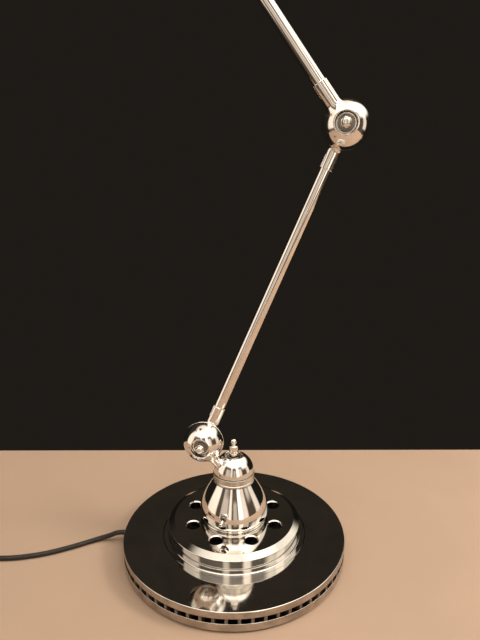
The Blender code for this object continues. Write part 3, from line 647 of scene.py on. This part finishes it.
def turret_field(points):
    """Swivel dome, slanting stub and the shoulder ball's front half, as one casting."""
    shoulder = points - STUB_LENGTH * np.array([cos(STUB_ANGLE), 0, sin(STUB_ANGLE)])
    c, s = cos(STUB_SLOPE), sin(STUB_SLOPE)
    local = np.stack([shoulder[:, 0] * c + shoulder[:, 2] * s, shoulder[:, 1] + SIDE_OFFSET,
                      shoulder[:, 2] * c - shoulder[:, 0] * s], 1)
    stub = drum(local, 0, STUB_RADIUS, STUB_START - 4 * MM, STUB_END, 0.8 * MM)
    body = soft_min(half_ball_field(points, 2, 1, STUD), stub, 3 * MM)
    body = soft_min(body, half_ball_field(shoulder, 1, -1, JOINT_BOLT), 4.5 * MM)
    body = soft_max(body, HALF_FACE - points[:, 2], 0.7 * MM)
    back_half = np.maximum(np.linalg.norm(shoulder, axis=1) - BALL - 0.8 * MM, -shoulder[:, 1] - HALF_FACE)
    body = np.maximum(body, -back_half)
    return hollows(hollows(body, points, 2, 1), shoulder, 1, -1)


def knuckles():
    margin = 2 * GRID_STEP
    back, points, normal = surface_of("knuckle_back", knuckle_field,
                                      (-BALL - margin, -margin, -BALL - margin),
                                      (SLEEVE_END + margin, BALL + margin, BALL + margin))
    front = mirrored("knuckle_front", points, normal, back)
    for name, mesh, matrix, body in (
        ("lower_arm_bottom_knuckle", back, lower_frame, "lower_arm"),
        ("lower_arm_top_knuckle", front, lower_end_frame, "lower_arm"),
        ("upper_arm_bottom_knuckle", front, upper_frame, "upper_arm"),
        ("upper_arm_top_knuckle", back, upper_end_frame, "upper_arm"),
        ("head_knuckle", back, head_frame, "head"),
    ):
        piece(name + "_cast", mesh.copy(), "cast_chrome", body, [name], matrix, even=False)
    reach = STUB_LENGTH * cos(STUB_ANGLE)
    mesh = surface_of("turret", turret_field, (reach - BALL - margin, -BALL - margin, -margin),
                      (BALL + margin, BALL + margin, -reach + BALL + margin))[0]
    piece("base_knuckle_cast", mesh, "cast_chrome", "turret", ["base_knuckle"], turret_frame,
          even=False)


# ---- base ----
VANE_END = DISC_RADIUS - VANE_SETBACK


def brake_disc():
    """Disc with its vanes, rounded edges, the groove round the hat and countersunk holes."""
    upper = outline([
        (CENTRE_BORE, HAT_RISE, 0.6 * MM), (HAT_TOP_RADIUS, HAT_RISE, 0.8 * MM),
        (HAT_RADIUS, HAT_RISE - HAT_CHAMFER, 0.8 * MM), (HAT_RADIUS, -1.2 * MM, 1.3 * MM),
        (FRICTION_BORE - 1 * MM, -1.2 * MM, 1 * MM), (FRICTION_BORE, 0, 0.6 * MM),
        (DISC_RADIUS, 0, 0.9 * MM), (DISC_RADIUS, -UPPER_PLATE, 0.3 * MM), (VANE_END, -UPPER_PLATE),
        (CENTRE_BORE, -UPPER_PLATE),
    ], 4)[:-1]
    low = -UPPER_PLATE - VENT_HEIGHT
    lower = outline([
        (LOWER_PLATE_BORE, low), (VANE_END, low), (DISC_RADIUS, low, 0.3 * MM),
        (DISC_RADIUS, -DISC_THICKNESS, 0.9 * MM), (LOWER_PLATE_BORE, -DISC_THICKNESS, 0.5 * MM),
    ], 4)[1:] + [(LOWER_PLATE_BORE, low)]
    inner = [(LOWER_PLATE_BORE, -UPPER_PLATE), (HAT_RADIUS - HAT_WALL, -UPPER_PLATE),
             (HAT_RADIUS - HAT_WALL, HAT_RISE - HAT_WALL), (CENTRE_BORE, HAT_RISE - HAT_WALL)]
    section = upper + lower + inner
    rim_top = len(upper) - 1
    bore_bottom = len(upper) + len(lower) - 1
    bm = bmesh.new()
    pitch = 2 * pi / VENT_COUNT
    half_vane = VANE_SHARE / 2
    rings = []
    for i in range(VENT_COUNT):
        for share in (-half_vane, half_vane, 0.5 - (0.5 - half_vane) / 3, 0.5 + (0.5 - half_vane) / 3):
            angle = (i + 0.5 + share) * pitch - pi / 2
            rings.append([bm.verts.new((r * cos(angle), r * sin(angle), z)) for r, z in section])
    size = len(section)
    corners = (rim_top, rim_top + 1, bore_bottom, bore_bottom + 1)
    for i, ring in enumerate(rings):
        after = rings[(i + 1) % len(rings)]
        in_vent = i % 4 != 0
        for k in range(size):
            n = (k + 1) % size
            if in_vent and k in (rim_top, bore_bottom):
                continue
            bm.faces.new((ring[k], ring[n], after[n], after[k]))
        if in_vent:
            for a, b in ((corners[0], corners[3]), (corners[1], corners[2])):
                bm.faces.new((ring[a], ring[b], after[b], after[a]))
        if i % 4 in (0, 1):
            bm.faces.new([ring[corners[k]] for k in (0, 3, 2, 1)])
    bmesh.ops.recalc_face_normals(bm, faces=bm.faces)
    disc = piece("brake_disc_fine", bm, "disc_metal", "base", ["brake_disc"], ON_FACE, even=False)
    cut = disc.modifiers.new("holes", "BOOLEAN")
    cut.operation = "DIFFERENCE"
    cut.object = placed("holes", mesh_of("holes", hole_cutter()), ON_FACE)
    bpy.context.view_layer.update()
    shape = bpy.data.meshes.new_from_object(disc.evaluated_get(bpy.context.evaluated_depsgraph_get()))
    bpy.data.objects.remove(cut.object)
    disc.modifiers.clear()
    disc.data = shape
    shape.shade_smooth()
    shape.set_sharp_from_angle(angle=radians(30))
    second_look(disc, "raw_iron", lambda centre, normal: centre.xy.length < VANE_END + 0.2 * MM
                and -0.5 * MM > centre.z + UPPER_PLATE > -VENT_HEIGHT + 0.5 * MM)
    second_look(disc, "rim_metal", lambda centre, normal: normal.xy.length > 0.9
                and centre.xy.length > DISC_RADIUS - 1 * MM)
    even_normals(disc)


def hole_cutter():
    """The countersunk bolt holes, as one shape to take away."""
    sink = 1.1 * MM
    section = outline([
        (0, HAT_RISE - HAT_WALL - 1 * MM), (BOLT_HOLE, HAT_RISE - HAT_WALL - 1 * MM),
        (BOLT_HOLE, HAT_RISE - sink, 0.5 * MM), (BOLT_HOLE + sink, HAT_RISE, 0.0),
        (BOLT_HOLE + 2 * sink, HAT_RISE + sink), (0, HAT_RISE + sink),
    ], 4)
    cutter = bmesh.new()
    for i in range(BOLT_COUNT):
        angle = (i + 0.5) * 2 * pi / BOLT_COUNT
        hole = lathe(section, 48)
        aside = (BOLT_CIRCLE * cos(angle), BOLT_CIRCLE * sin(angle), 0)
        bmesh.ops.translate(hole, verts=hole.verts, vec=aside)
        holder = mesh_of("hole", hole)
        cutter.from_mesh(holder)
        bpy.data.meshes.remove(holder)
    return cutter


def base_pad():
    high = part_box("base_pad")[1]
    section = outline([(0, 0), (high.x, 0, 0.4 * MM), (high.x, high.z, 0.4 * MM), (0, high.z)])
    turned("base_pad", section, "felt", steps=160)


# ---- housing ----
WIDEST_RISE = 26.8 * MM
WIDEST_RADIUS = 39.7 * MM
HOUSING_WALL = 2.5 * MM
FOOT_RADIUS = 36.8 * MM
FOOT_RISE = HAT_RISE + GAP
BOWL_RADIUS = 8 * MM
BOWL_ANGLE = 58
SHOULDER_ANGLE = radians(100)
SHOULDER_HEIGHT = NECK_BOTTOM - GAP - WIDEST_RISE
NIPPLE_HOLE = 5.4 * MM
SWITCH_AZIMUTH = radians(253.7)
SWITCH_RISE = 38 * MM
LEVER_TILT = radians(20)
BEZEL_FLATS = 10.4 * MM


def shoulder_radius(share):
    """Radius of the pear at a share of the way from its widest level to the neck."""
    drop = (1 - cos(share * SHOULDER_ANGLE)) / (1 - cos(SHOULDER_ANGLE))
    return WIDEST_RADIUS - (WIDEST_RADIUS - NECK_RADIUS) * drop


def pear_outline(inset, bowl, shoulder):
    """Lower bowl and long upper shoulder of the pear, bottom to top."""
    points = arc((WIDEST_RADIUS - BOWL_RADIUS, WIDEST_RISE), BOWL_RADIUS - inset, -BOWL_ANGLE, 0, bowl)
    for i in range(1, shoulder + 1):
        share = i / shoulder
        points.append((shoulder_radius(share) - inset, WIDEST_RISE + SHOULDER_HEIGHT * share))
    return points


def housing():
    outer = pear_outline(0, 14, 28)
    inner = pear_outline(HOUSING_WALL, 6, 12)
    floor = FOOT_RISE + 3 * MM
    foot = outline([(NIPPLE_HOLE, FOOT_RISE), (FOOT_RADIUS, FOOT_RISE, 0.4 * MM),
                    (FOOT_RADIUS, FOOT_RISE + 1.2 * MM, 0.5 * MM),
                    (outer[0][0] + 0.5 * MM, FOOT_RISE + 1.6 * MM, 0.4 * MM), outer[0]])[:-1]
    section = foot + outer + [p for p in reversed(inner) if p[1] > floor + 1 * MM]
    section += [(inner[0][0] - 1 * MM, floor), (NIPPLE_HOLE, floor)]
    turned("pear_housing", section, "housing_chrome", matrix=ON_FACE, steps=160, slot="chrome")


def switch():
    """The toggle's hexagon bezel and its lever, square to the pear's side."""
    share = (SWITCH_RISE - WIDEST_RISE) / SHOULDER_HEIGHT
    reach = shoulder_radius(share)
    tilt = atan2(reach - shoulder_radius(share + 0.01), 0.01 * SHOULDER_HEIGHT)
    at = Vector((reach * cos(SWITCH_AZIMUTH), reach * sin(SWITCH_AZIMUTH), FACE_Z + SWITCH_RISE))
    place = (Matrix.Translation(at) @ Matrix.Rotation(SWITCH_AZIMUTH, 4, "Z")
             @ Matrix.Rotation(pi / 2 - tilt, 4, "Y"))
    bezel = outline(raised(0, (3.4, 0.5), (5.6, 0.5, 0.3), (5.6, 2.0, 0.5), (4.2, 2.4, 0.3), (3.4, 2.4, 0.2)))
    turned("switch_bezel", bezel, matrix=place, shape=hexed(BEZEL_FLATS))
    lever = outline(raised(0, (0, 0), (0.8, 0), (1.3, 4, 2), (2.05, 10.6, 2), (2.0, 13, 1.7), (0, 13)), 8)
    turned("switch_lever", lever, body="switch", matrix=place @ Matrix.Rotation(LEVER_TILT, 4, "Y"), steps=48)


def neck_collar():
    """Nickel ring with a narrow groove in the pear's neck, under the swivel."""
    low, top, narrow = NECK_BOTTOM, NECK_TOP, NECK_RADIUS - 0.5 * MM
    bore = STUD + GAP
    shank = shoulder_radius(1) - HOUSING_WALL - GAP
    collar = outline([
        (bore, low - 5 * MM), (shank, low - 5 * MM), (shank, low), (NECK_RADIUS, low, 0.5 * MM),
        (NECK_RADIUS, low + 2.2 * MM, 0.3 * MM), (narrow, low + 2.6 * MM, 0.2 * MM),
        (narrow, top - 1.6 * MM, 0.3 * MM), (NECK_RADIUS, top - 1.1 * MM, 0.3 * MM),
        (NECK_RADIUS, top, 0.4 * MM), (RECESS_RADIUS, top, 0.3 * MM), (RECESS_RADIUS, top - 4 * MM),
        (bore, top - 4 * MM),
    ])
    turned("neck_collar", collar, "satin_nickel", matrix=ON_FACE, steps=160)


# ---- springs, washers and nuts ----
SPRING_HEIGHT = 2.3 * MM
CAP_NUT_FLATS = 9.3 * MM


def spring(node, body, matrix, inner, outer):
    """A dished spring washer on a counterbore's floor."""
    floor = COUNTERBORE_FLOOR
    section = outline([(inner, floor + 1.3 * MM), (outer, floor + GAP), (outer, floor + 1.2 * MM, 0.3 * MM),
                       (inner, floor + SPRING_HEIGHT, 0.2 * MM)])
    turned(node, section, "zinc_steel", body, matrix)


def washer(node, look, body, matrix, bore, outer, thickness, edge):
    """A flat washer on the spring. Gives the level at which the nut starts."""
    low = COUNTERBORE_FLOOR + SPRING_HEIGHT + GAP
    high = low + thickness
    section = outline([(bore, low), (outer, low, 0.2 * MM), (outer, high, edge), (bore, high)])
    turned(node, section, look, body, matrix)
    return low + (thickness + GAP)


def finial():
    """Spring, washer and ball-topped nut on the swivel's stud."""
    place = Matrix.Translation(swivel_place)
    bore = STUD + GAP
    spring("swivel_spring", "base", place, 4.6 * MM, 8.6 * MM)
    low = washer("swivel_washer", "chrome", "base", place, bore, 7 * MM, 1.2 * MM, 0.5 * MM)
    nut = outline([(bore, low), *raised(low, (5.4, 0, 0.5), (5.4, 7, 1.0), (4.7, 8, 0.3), (4.7, 13.6, 0.9),
                                        (2.6, 14.8, 0.5))])
    nut += arc((0, low + 18.9 * MM), 3.4 * MM, -54, 90, 14)
    turned("finial_nut", nut + [(0, low + 12 * MM), (bore, low + 12 * MM)], matrix=place, steps=96)


def joint_hardware(prefix, matrix, bolt_body, nut_body):
    """A joint's bolt, whose head lies behind, and its spring, washer and cap nut in front."""
    floor = COUNTERBORE_FLOOR
    bolt_end = -(floor + 8.5 * MM)
    head = outline([(0, bolt_end), (JOINT_BOLT, bolt_end), (JOINT_BOLT, floor + GAP),
                    (6 * MM, floor + GAP, 0.2 * MM),
                    *raised(floor, (6, 2.6, 0.6), (3.6, 4.9, 2.5), (0, 5.4))], 6)
    turned(prefix + "_bolt", head, body=bolt_body, matrix=matrix @ TO_BACK)
    front = matrix @ TO_FRONT
    bore = JOINT_BOLT + GAP
    spring(prefix + "_spring", nut_body, front, 3.6 * MM, 8 * MM)
    low = washer(prefix + "_washer", "zinc_steel", nut_body, front, bore, 6.5 * MM, 1 * MM, 0.3 * MM)
    nut = outline([(bore, low), *raised(low, (5.2, 0, 0.4), (5.2, 3.4, 0.5), (4.3, 3.9, 0.3), (4.2, 5.2, 1.5),
                                        (2.9, 7.1, 2.0), (0, 7.5), (0, 5.6)), (bore, low + 5.6 * MM)], 6)
    turned(prefix + "_cap_nut", nut, body=nut_body, matrix=front, steps=96, shape=hexed(CAP_NUT_FLATS))


def arm_tube(name, matrix, length, side, body):
    start = SLEEVE_FLOOR + GAP
    bore = TUBE - TUBE_WALL
    section = outline([(bore, start), (TUBE, start, 0.3 * MM), (TUBE, length - start, 0.3 * MM),
                       (bore, length - start)])
    turned(name, section, "tube_chrome", body, matrix @ beside(side) @ ALONG_X, slot="chrome")


# ---- head ----
SHADE_START = SLEEVE_END + GAP
SHADE_WALL = 1.2 * MM
SHADE_NECK = 21 * MM
SHADE_FLARE = 51 * MM
SHADE_LENGTH = 109 * MM      # 3 mm less than the solid's, so that the shade stays above the view
BULB_RADIUS = 22.5 * MM
BULB_RISE = 54 * MM


def shade_outline(inset, skirt):
    """Bell-shaped section: short neck, rounded shoulder and a flaring skirt."""
    neck = SHADE_NECK - inset
    start = SHADE_START + inset
    points = [(neck - 3 * MM, start, 2 * MM), (neck, start + 3 * MM, 2 * MM), (neck, start + 22 * MM, 3 * MM)]
    skirt_start = start + 26 * MM
    skirt_end = SHADE_START + SHADE_LENGTH
    for i in range(skirt + 1):
        share = i / skirt
        bulge = sin(share * pi / 2) ** 0.8
        points.append((neck + 3 * MM + SHADE_FLARE * bulge, skirt_start + (skirt_end - skirt_start) * share))
    return points


def head():
    """Shade, lampholder, shade ring and bulb, on the head's tube axis."""
    matrix = head_frame @ beside(1) @ ALONG_X
    bore = 5.4 * MM
    section = outline([(bore, SHADE_START), *shade_outline(0, 24), *reversed(shade_outline(SHADE_WALL, 24)),
                       (bore, SHADE_START + SHADE_WALL)], 4)
    shade = turned("shade", section, body="head", matrix=matrix, steps=160)
    second_look(shade, "reflector", lambda centre, normal: normal.x * centre.x + normal.y * centre.y < 0 or (
        normal.z > 0.5 and SHADE_START + 0.5 * MM < centre.z < SHADE_START + 10 * MM))

    inside = SHADE_START + SHADE_WALL + GAP
    holder = outline([*raised(SLEEVE_FLOOR, (0, 2), (5, 2)),
                      *raised(inside, (5, 0), (13.5, 0, 1), (13.5, 36, 1), (12, 36, 0.5), (12, 16), (0, 16))])
    turned("lampholder", holder, "porcelain", "head", matrix, 96)
    ring = outline(raised(inside, (13.8, 8, 0.3), (18.5, 8, 0.8), (18.5, 12, 0.8), (13.8, 12, 0.3)))

    def grip(radius, height, angle):
        return radius - (0.5 * MM if radius > 17 * MM and sin(angle * 18) > 0.3 else 0)

    turned("shade_ring", ring, "bakelite", "head", matrix, 216, grip)

    cap_low = inside + 16 * MM + GAP
    thread = [(6.2 + 0.3 * cos(2 * pi * i / 6), 2.5 + 19.5 * i / 24) for i in range(25)]
    bulb = raised(cap_low, (0, 0), (6.5, 2), *thread, (8, 24), (11, 28))
    bulb += arc((0, cap_low + BULB_RISE), BULB_RADIUS, -50, 90, 28)
    bulb[-1] = (0, bulb[-1][1])
    lamp = turned("lamp_bulb", bulb, "opal_glass", "head", matrix, 96)
    second_look(lamp, "brass", lambda centre, normal: centre.z < cap_low + 23 * MM)


# ---- mains cord ----
EXIT_AZIMUTH = 46 * 2 * pi / VENT_COUNT - pi / 2
EXIT_RISE = -(UPPER_PLATE + VENT_HEIGHT / 2)
GLAND_MIDDLE = 116 * MM
GLAND_HALF = 12.6 * MM
CORD_ROUTE = [     # metres, from just outside the disc's rim to the coil
    (-0.1350, 0.0069, 0.0136), (-0.1411, 0.0077, 0.0122), (-0.1470, 0.0087, 0.0092),
    (-0.1532, 0.0094, 0.0064), (-0.1612, 0.0087, 0.0042), (-0.1725, 0.0045, 0.0030),
    (-0.1880, -0.0036, 0.0029), (-0.2037, -0.0109, 0.0029), (-0.2191, -0.0169, 0.0029),
    (-0.2348, -0.0211, 0.0029), (-0.2509, -0.0239, 0.0029), (-0.2677, -0.0249, 0.0029),
    (-0.2870, -0.0250, 0.0029), (-0.3050, -0.0250, 0.0029),
]
TURN_SPACING = 5.7 * MM
LAYER_SPACING = 5.55 * MM
# place of each turn in the coil's section, (steps inwards, steps up), in the order that the cord takes them
TURN_CELLS = [(0, 0), (1, 0), (2, 0), (2, 1), (2, 2), (1, 2), (1, 1), (0, 1), (0, 2)]
FIRST_CHANGE = radians(90 + 310)   # where the cord moves from its first place to the next
CHANGE_EVERY = radians(340)
CHANGE_LENGTH = radians(20)        # half of the angle that each move takes
PLUG_HEADING = radians(315)
TIE_HEADING = radians(160)
PLUG_REACH = 50 * MM
PLUG_RISE = 7.2 * MM
PLUG_TAIL = 3.4 * MM
PLUG_LENGTH = 48 * MM
PIN = 2 * MM
PIN_LENGTH = 19 * MM
PIN_OFFSET = 9.3 * MM


def coil_points(centre, outer_turn):
    """The cord's turns, counter-clockwise from the coil's far side to where the plug's end leaves it."""
    leave = radians(8 * 360) + PLUG_HEADING - pi / 2
    points = []
    count = int(leave / radians(20))
    for i in range(count + 1):
        turn = pi / 2 + (leave - pi / 2) * i / count
        inwards, up = 0.0, 0.0
        for k, (cell, following) in enumerate(zip(TURN_CELLS, TURN_CELLS[1:])):
            middle = FIRST_CHANGE + k * CHANGE_EVERY
            share = min(1, max(0, (turn - middle + CHANGE_LENGTH) / (2 * CHANGE_LENGTH)))
            inwards += (following[0] - cell[0]) * eased(share)
            up += (following[1] - cell[1]) * eased(share)
        radius = outer_turn - inwards * TURN_SPACING
        level = CORD + 0.1 * MM + up * LAYER_SPACING
        points.append(centre + Vector((radius * cos(turn), radius * sin(turn), level)))
    return points


def plug(start):
    """Plug with its ribbed strain relief, and two pins."""
    place = Matrix.Translation(start) @ Matrix.Rotation(PLUG_HEADING, 4, "Z")
    sections = [(0, 0, 0), (0, PLUG_TAIL - 0.4 * MM, PLUG_TAIL - 0.4 * MM), (0.4 * MM, PLUG_TAIL, PLUG_TAIL)]
    for i in range(6):
        x = (1.2 + 1.9 * i) * MM
        wide = PLUG_TAIL + 0.13 * MM * i
        narrow = wide - 0.5 * MM
        sections += [(x, wide, wide), (x + 0.4 * MM, narrow, narrow), (x + 1.1 * MM, narrow, narrow),
                     (x + 1.5 * MM, wide, wide)]
    for i in range(17):
        ease = eased(i / 16)
        sections.append(((13 + 15 * i / 16) * MM, (4.2 + 8.5 * ease) * MM, (4.1 + 2.8 * ease) * MM))
    end = PLUG_LENGTH
    sections += [(end - 1.5 * MM, 13 * MM, 6.9 * MM), (end - 0.5 * MM, 12.7 * MM, 6.6 * MM),
                 (end, 12 * MM, 5.9 * MM), (end, 0, 0)]
    bm = bmesh.new()
    count = 64
    rings = []
    for x, half_width, half_height in sections:
        if not half_width:
            rings.append([bm.verts.new((x, 0, 0))] * count)
            continue
        power = 1 if x < 13 * MM else 0.75
        ring = []
        for i in range(count):
            c, s = cos(2 * pi * i / count), sin(2 * pi * i / count)
            y = abs(c) ** power * half_width * (1 if c > 0 else -1)
            z = abs(s) ** power * half_height * (1 if s > 0 else -1)
            ring.append(bm.verts.new((x, y, z)))
        rings.append(ring)
    body = skinned(bm, rings, closed=False)
    pieces = [piece("plug_fine", body, "black_plastic", "base", ["plug_body"], place)]
    for side, label in ((1, "left"), (-1, "right")):
        pin = outline([(0, end + GAP), (PIN, end + GAP), (PIN, end + PIN_LENGTH, 0.9 * MM),
                       (0, end + PIN_LENGTH)])
        pieces.append(turned(f"plug_pin_{label}", pin, "brass", steps=40,
                             matrix=place @ Matrix.Translation((0, side * PIN_OFFSET, 0)) @ ALONG_X))
    return pieces


def coil_tie(centre, inner, outer, height):
    """A strap round the coil's turns, standing for its own piece."""
    half_width = 3 * MM
    corner = 2.6 * MM
    strap = 0.8 * MM

    def loop(left, right, low, high, fillet):
        corners = ((left, low), (right, low), (right, high), (left, high))
        return outline([(*corner, fillet) for corner in corners], 6)

    loop_in = loop(inner, outer, strap, height, corner)
    loop_out = loop(inner - strap, outer + strap, 0.1 * MM, height + strap, corner + strap)
    bm = bmesh.new()
    rows = []
    for (r0, z0), (r1, z1) in zip(loop_in, loop_out):
        rows.append([bm.verts.new(p) for p in ((r0, -half_width, z0), (r1, -half_width, z1),
                                                (r1, half_width, z1), (r0, half_width, z0))])
    place = Matrix.Translation(centre) @ Matrix.Rotation(TIE_HEADING, 4, "Z")
    return piece("coil_tie", skinned(bm, rows), "black_plastic", "base", [], place)


def cord():
    outward = Vector((cos(EXIT_AZIMUTH), sin(EXIT_AZIMUTH), 0))
    middle = outward * GLAND_MIDDLE + Vector((0, 0, FACE_Z + EXIT_RISE))
    gland_frame = Matrix.Translation(middle) @ Matrix.Rotation(EXIT_AZIMUTH, 4, "Z")
    gland = [(0, -GLAND_HALF), (2.6 * MM, -GLAND_HALF)]
    for i in range(1, 9):
        z = -GLAND_HALF + 2 * GLAND_HALF * i / 9
        gland += [(2.65 * MM, z - 0.5 * MM), (2.4 * MM, z), (2.65 * MM, z + 0.5 * MM)]
    gland += [(2.7 * MM, GLAND_HALF - 0.3 * MM), (2.5 * MM, GLAND_HALF), (0, GLAND_HALF)]
    pieces = [turned("cord_gland", gland, "cord_rubber", matrix=gland_frame @ ALONG_X, steps=48)]
    start = middle + outward * (GLAND_HALF + 2 * GAP)
    low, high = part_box("cord_coil")
    centre = Vector(((low.x + high.x) / 2, (low.y + high.y) / 2, 0))
    coil_outer = (high.x - low.x) / 2
    outer_turn = coil_outer - CORD - 0.1 * MM
    turns = coil_points(centre, outer_turn)
    leaving = Vector((cos(PLUG_HEADING), sin(PLUG_HEADING), 0))
    leaves_at = centre + Vector((leaving.y, -leaving.x, 0)) * (coil_outer - CORD)
    plug_start = leaves_at + leaving * PLUG_REACH + Vector((0, 0, PLUG_RISE))
    tail = plug_start - leaving * GAP
    last = turns[-1]
    tail_points = []
    for share in (0.2, 0.4, 0.6, 0.8, 1.0):
        level = last.z + (tail.z - last.z) * eased(share)
        point = last + (tail - last) * share
        tail_points.append(Vector((point.x, point.y, level)))
    route = [start] + [Vector(p) for p in CORD_ROUTE] + turns + tail_points
    curve = bpy.data.curves.new("cord_fine", "CURVE")
    curve.dimensions = "3D"
    curve.bevel_depth = CORD
    curve.bevel_resolution = 6
    curve.resolution_u = 6
    curve.use_fill_caps = True
    spline = curve.splines.new("BEZIER")
    spline.bezier_points.add(len(route) - 1)
    for knot, point in zip(spline.bezier_points, route):
        knot.co = point
        knot.handle_left_type = knot.handle_right_type = "AUTO"
    curve.materials.append(LOOK["cord_rubber"])
    lead = placed("cord_fine", curve)
    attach(lead, "base")
    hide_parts("cord", "cord_coil", "cord_tail")
    coil_inner = outer_turn - 2 * TURN_SPACING - CORD
    pieces.append(coil_tie(centre, coil_inner, coil_outer, high.z - 0.2 * MM))
    pieces += plug(plug_start)


knuckles()
brake_disc()
base_pad()
housing()
switch()
neck_collar()
finial()
for prefix, matrix, bolt_body, nut_body in (
    ("shoulder", lower_frame, "lower_arm", "turret"),
    ("elbow", upper_frame, "lower_arm", "upper_arm"),
    ("head", head_frame, "head", "upper_arm"),
):
    joint_hardware(prefix, matrix, bolt_body, nut_body)
arm_tube("lower_arm_tube", lower_frame, LOWER_LENGTH, 1, "lower_arm")
arm_tube("upper_arm_tube", upper_frame, UPPER_LENGTH, -1, "upper_arm")
head()
cord()

# ---- carried-over parts ----
slots = {part["node"]: part["material_slot"] for part in frame["record"]["subparts"]}
for name, node in frame["nodes"].items():
    if not node.hide_render:
        node.data.materials.clear()
        node.data.materials.append(LOOK[slots[name]])


# ---- floor, light, world ----
TABLE_HALF_WIDTH = 0.95
TABLE_FRONT = -0.9
TABLE_BACK = 0.235
TABLE_THICKNESS = 0.03
KEY_PLACE = (1.05, -0.30, 1.05)
KEY_TARGET = (0, 0, 0.05)
KEY_SIZE = 0.35
KEY_POWER = 14
KEY_COLOUR = (1.0, 0.90, 0.78)
DRAPE = (0.0135, 0.0112, 0.0090)
PANEL_FOOT = -14            # degrees


def add_floor():
    """A pale beige table top that ends behind the lamp."""
    bm = bmesh.new()
    corners = ((-1, TABLE_FRONT), (1, TABLE_FRONT), (1, TABLE_BACK), (-1, TABLE_BACK))
    face = bm.faces.new([bm.verts.new((side * TABLE_HALF_WIDTH, y, 0)) for side, y in corners])
    drop = bmesh.ops.extrude_face_region(bm, geom=[face])
    for vert in [g for g in drop["geom"] if isinstance(g, bmesh.types.BMVert)]:
        vert.co.z -= TABLE_THICKNESS
    bmesh.ops.recalc_face_normals(bm, faces=bm.faces)
    floor = placed("floor", mesh_of("floor", bm))
    paint = Paint("floor")
    grain = paint.mix(paint.noise(7, 4, 0.6), (0.355, 0.250, 0.186), (0.300, 0.216, 0.156))
    floor.data.materials.append(paint.finish(Base_Color=grain, Roughness=0.6))


def add_key_light():
    """A soft light that brightens the lamp but isn't mirrored in it; the room's glow is what it mirrors."""
    light = bpy.data.lights.new("key", "AREA")
    light.shape = "RECTANGLE"
    light.size = light.size_y = KEY_SIZE
    light.energy = KEY_POWER
    light.color = KEY_COLOUR
    key = placed("key", light)
    key.location = KEY_PLACE
    key.rotation_euler = (Vector(KEY_TARGET) - Vector(KEY_PLACE)).to_track_quat("-Z", "Y").to_euler()
    key.visible_glossy = False


class Room(Nodes):
    """The studio's surroundings: a dark drape behind, a warm room in front, soft lights as glowing panels."""

    def __init__(self):
        world = bpy.data.worlds.new("room")
        super().__init__(world)
        bpy.context.scene.world = world
        apart = self.fill(self.add("SeparateXYZ"),
                          Vector=self.add("TexCoord").outputs["Generated"])
        self.y = apart.outputs["Y"]
        forward = self.sums("MULTIPLY", self.y, -1)
        self.azimuth = self.sums("MULTIPLY", self.sums("ARCTAN2", apart.outputs["X"], forward), degrees(1))
        self.rise = self.sums("MULTIPLY", self.sums("ARCSINE", apart.outputs["Z"]), degrees(1))
        self.light = None

    def glow(self, colour, mask):
        """Add light of this colour where the mask is on."""
        node = self.add("VectorMath", operation="MULTIPLY_ADD")
        for socket, value in zip(node.inputs, (colour, mask, self.light)):
            if value is not None:
                self.put(socket, value)
        self.light = node.outputs["Vector"]

    def panel(self, colour, sides, levels, soft):
        """A glowing panel between two azimuths (0 in front, right positive) and two levels, in degrees."""
        across, upright = (
            self.sums("MULTIPLY", self.spread(value, start - soft, start + soft),
                      self.spread(value, end + soft, end - soft))
            for value, (start, end) in ((self.azimuth, sides), (self.rise, levels)))
        self.glow(colour, self.sums("MULTIPLY", across, upright))

    def finish(self, drape):
        """The camera itself sees only the dark drape, whichever way it looks."""
        path = self.add("LightPath")
        seen = self.mix(path.outputs["Is Camera Ray"], self.light, drape)
        self.fill(self.tree.nodes["Background"], Color=seen)


def add_world():
    """The room's glow by level and side; the levels and azimuths are in degrees."""
    room = Room()
    room.glow(DRAPE, room.spread(room.rise, -200, -190))
    room.glow((0.024, 0.019, 0.013), room.spread(room.rise, 14, 32))
    in_front = room.spread(room.y, 0.22, -0.30)
    room.glow((0.090, 0.060, 0.042), in_front)
    room.glow((0.90, 0.80, 0.67), room.sums("MULTIPLY", in_front, room.spread(room.rise, 43, 60)))
    room.glow((1.25, 1.11, 0.94), room.spread(room.rise, 50, 64))
    room.panel((2.7, 2.5, 2.2), (-72, 75), (45, 66), 9)
    room.panel((1.7, 1.53, 1.30), (58, 140), (24, 78), 8)
    for left, right, top, strength in ((-98, -62, 52, 1.25), (-46, -22, 30, 0.62), (-18, -8, 52, 1.2),
                                       (-2, 11, 28, 0.55), (16, 29, 52, 2.4), (29, 48, 32, 1.0),
                                       (78, 98, 50, 1.0)):
        room.panel((strength, 0.87 * strength, 0.73 * strength), (left, right), (PANEL_FOOT, top), 3)
    room.finish(DRAPE)


add_floor()
add_world()
add_key_light()
view = bpy.context.scene.view_settings
view.view_transform = "Standard"
view.look = "None"
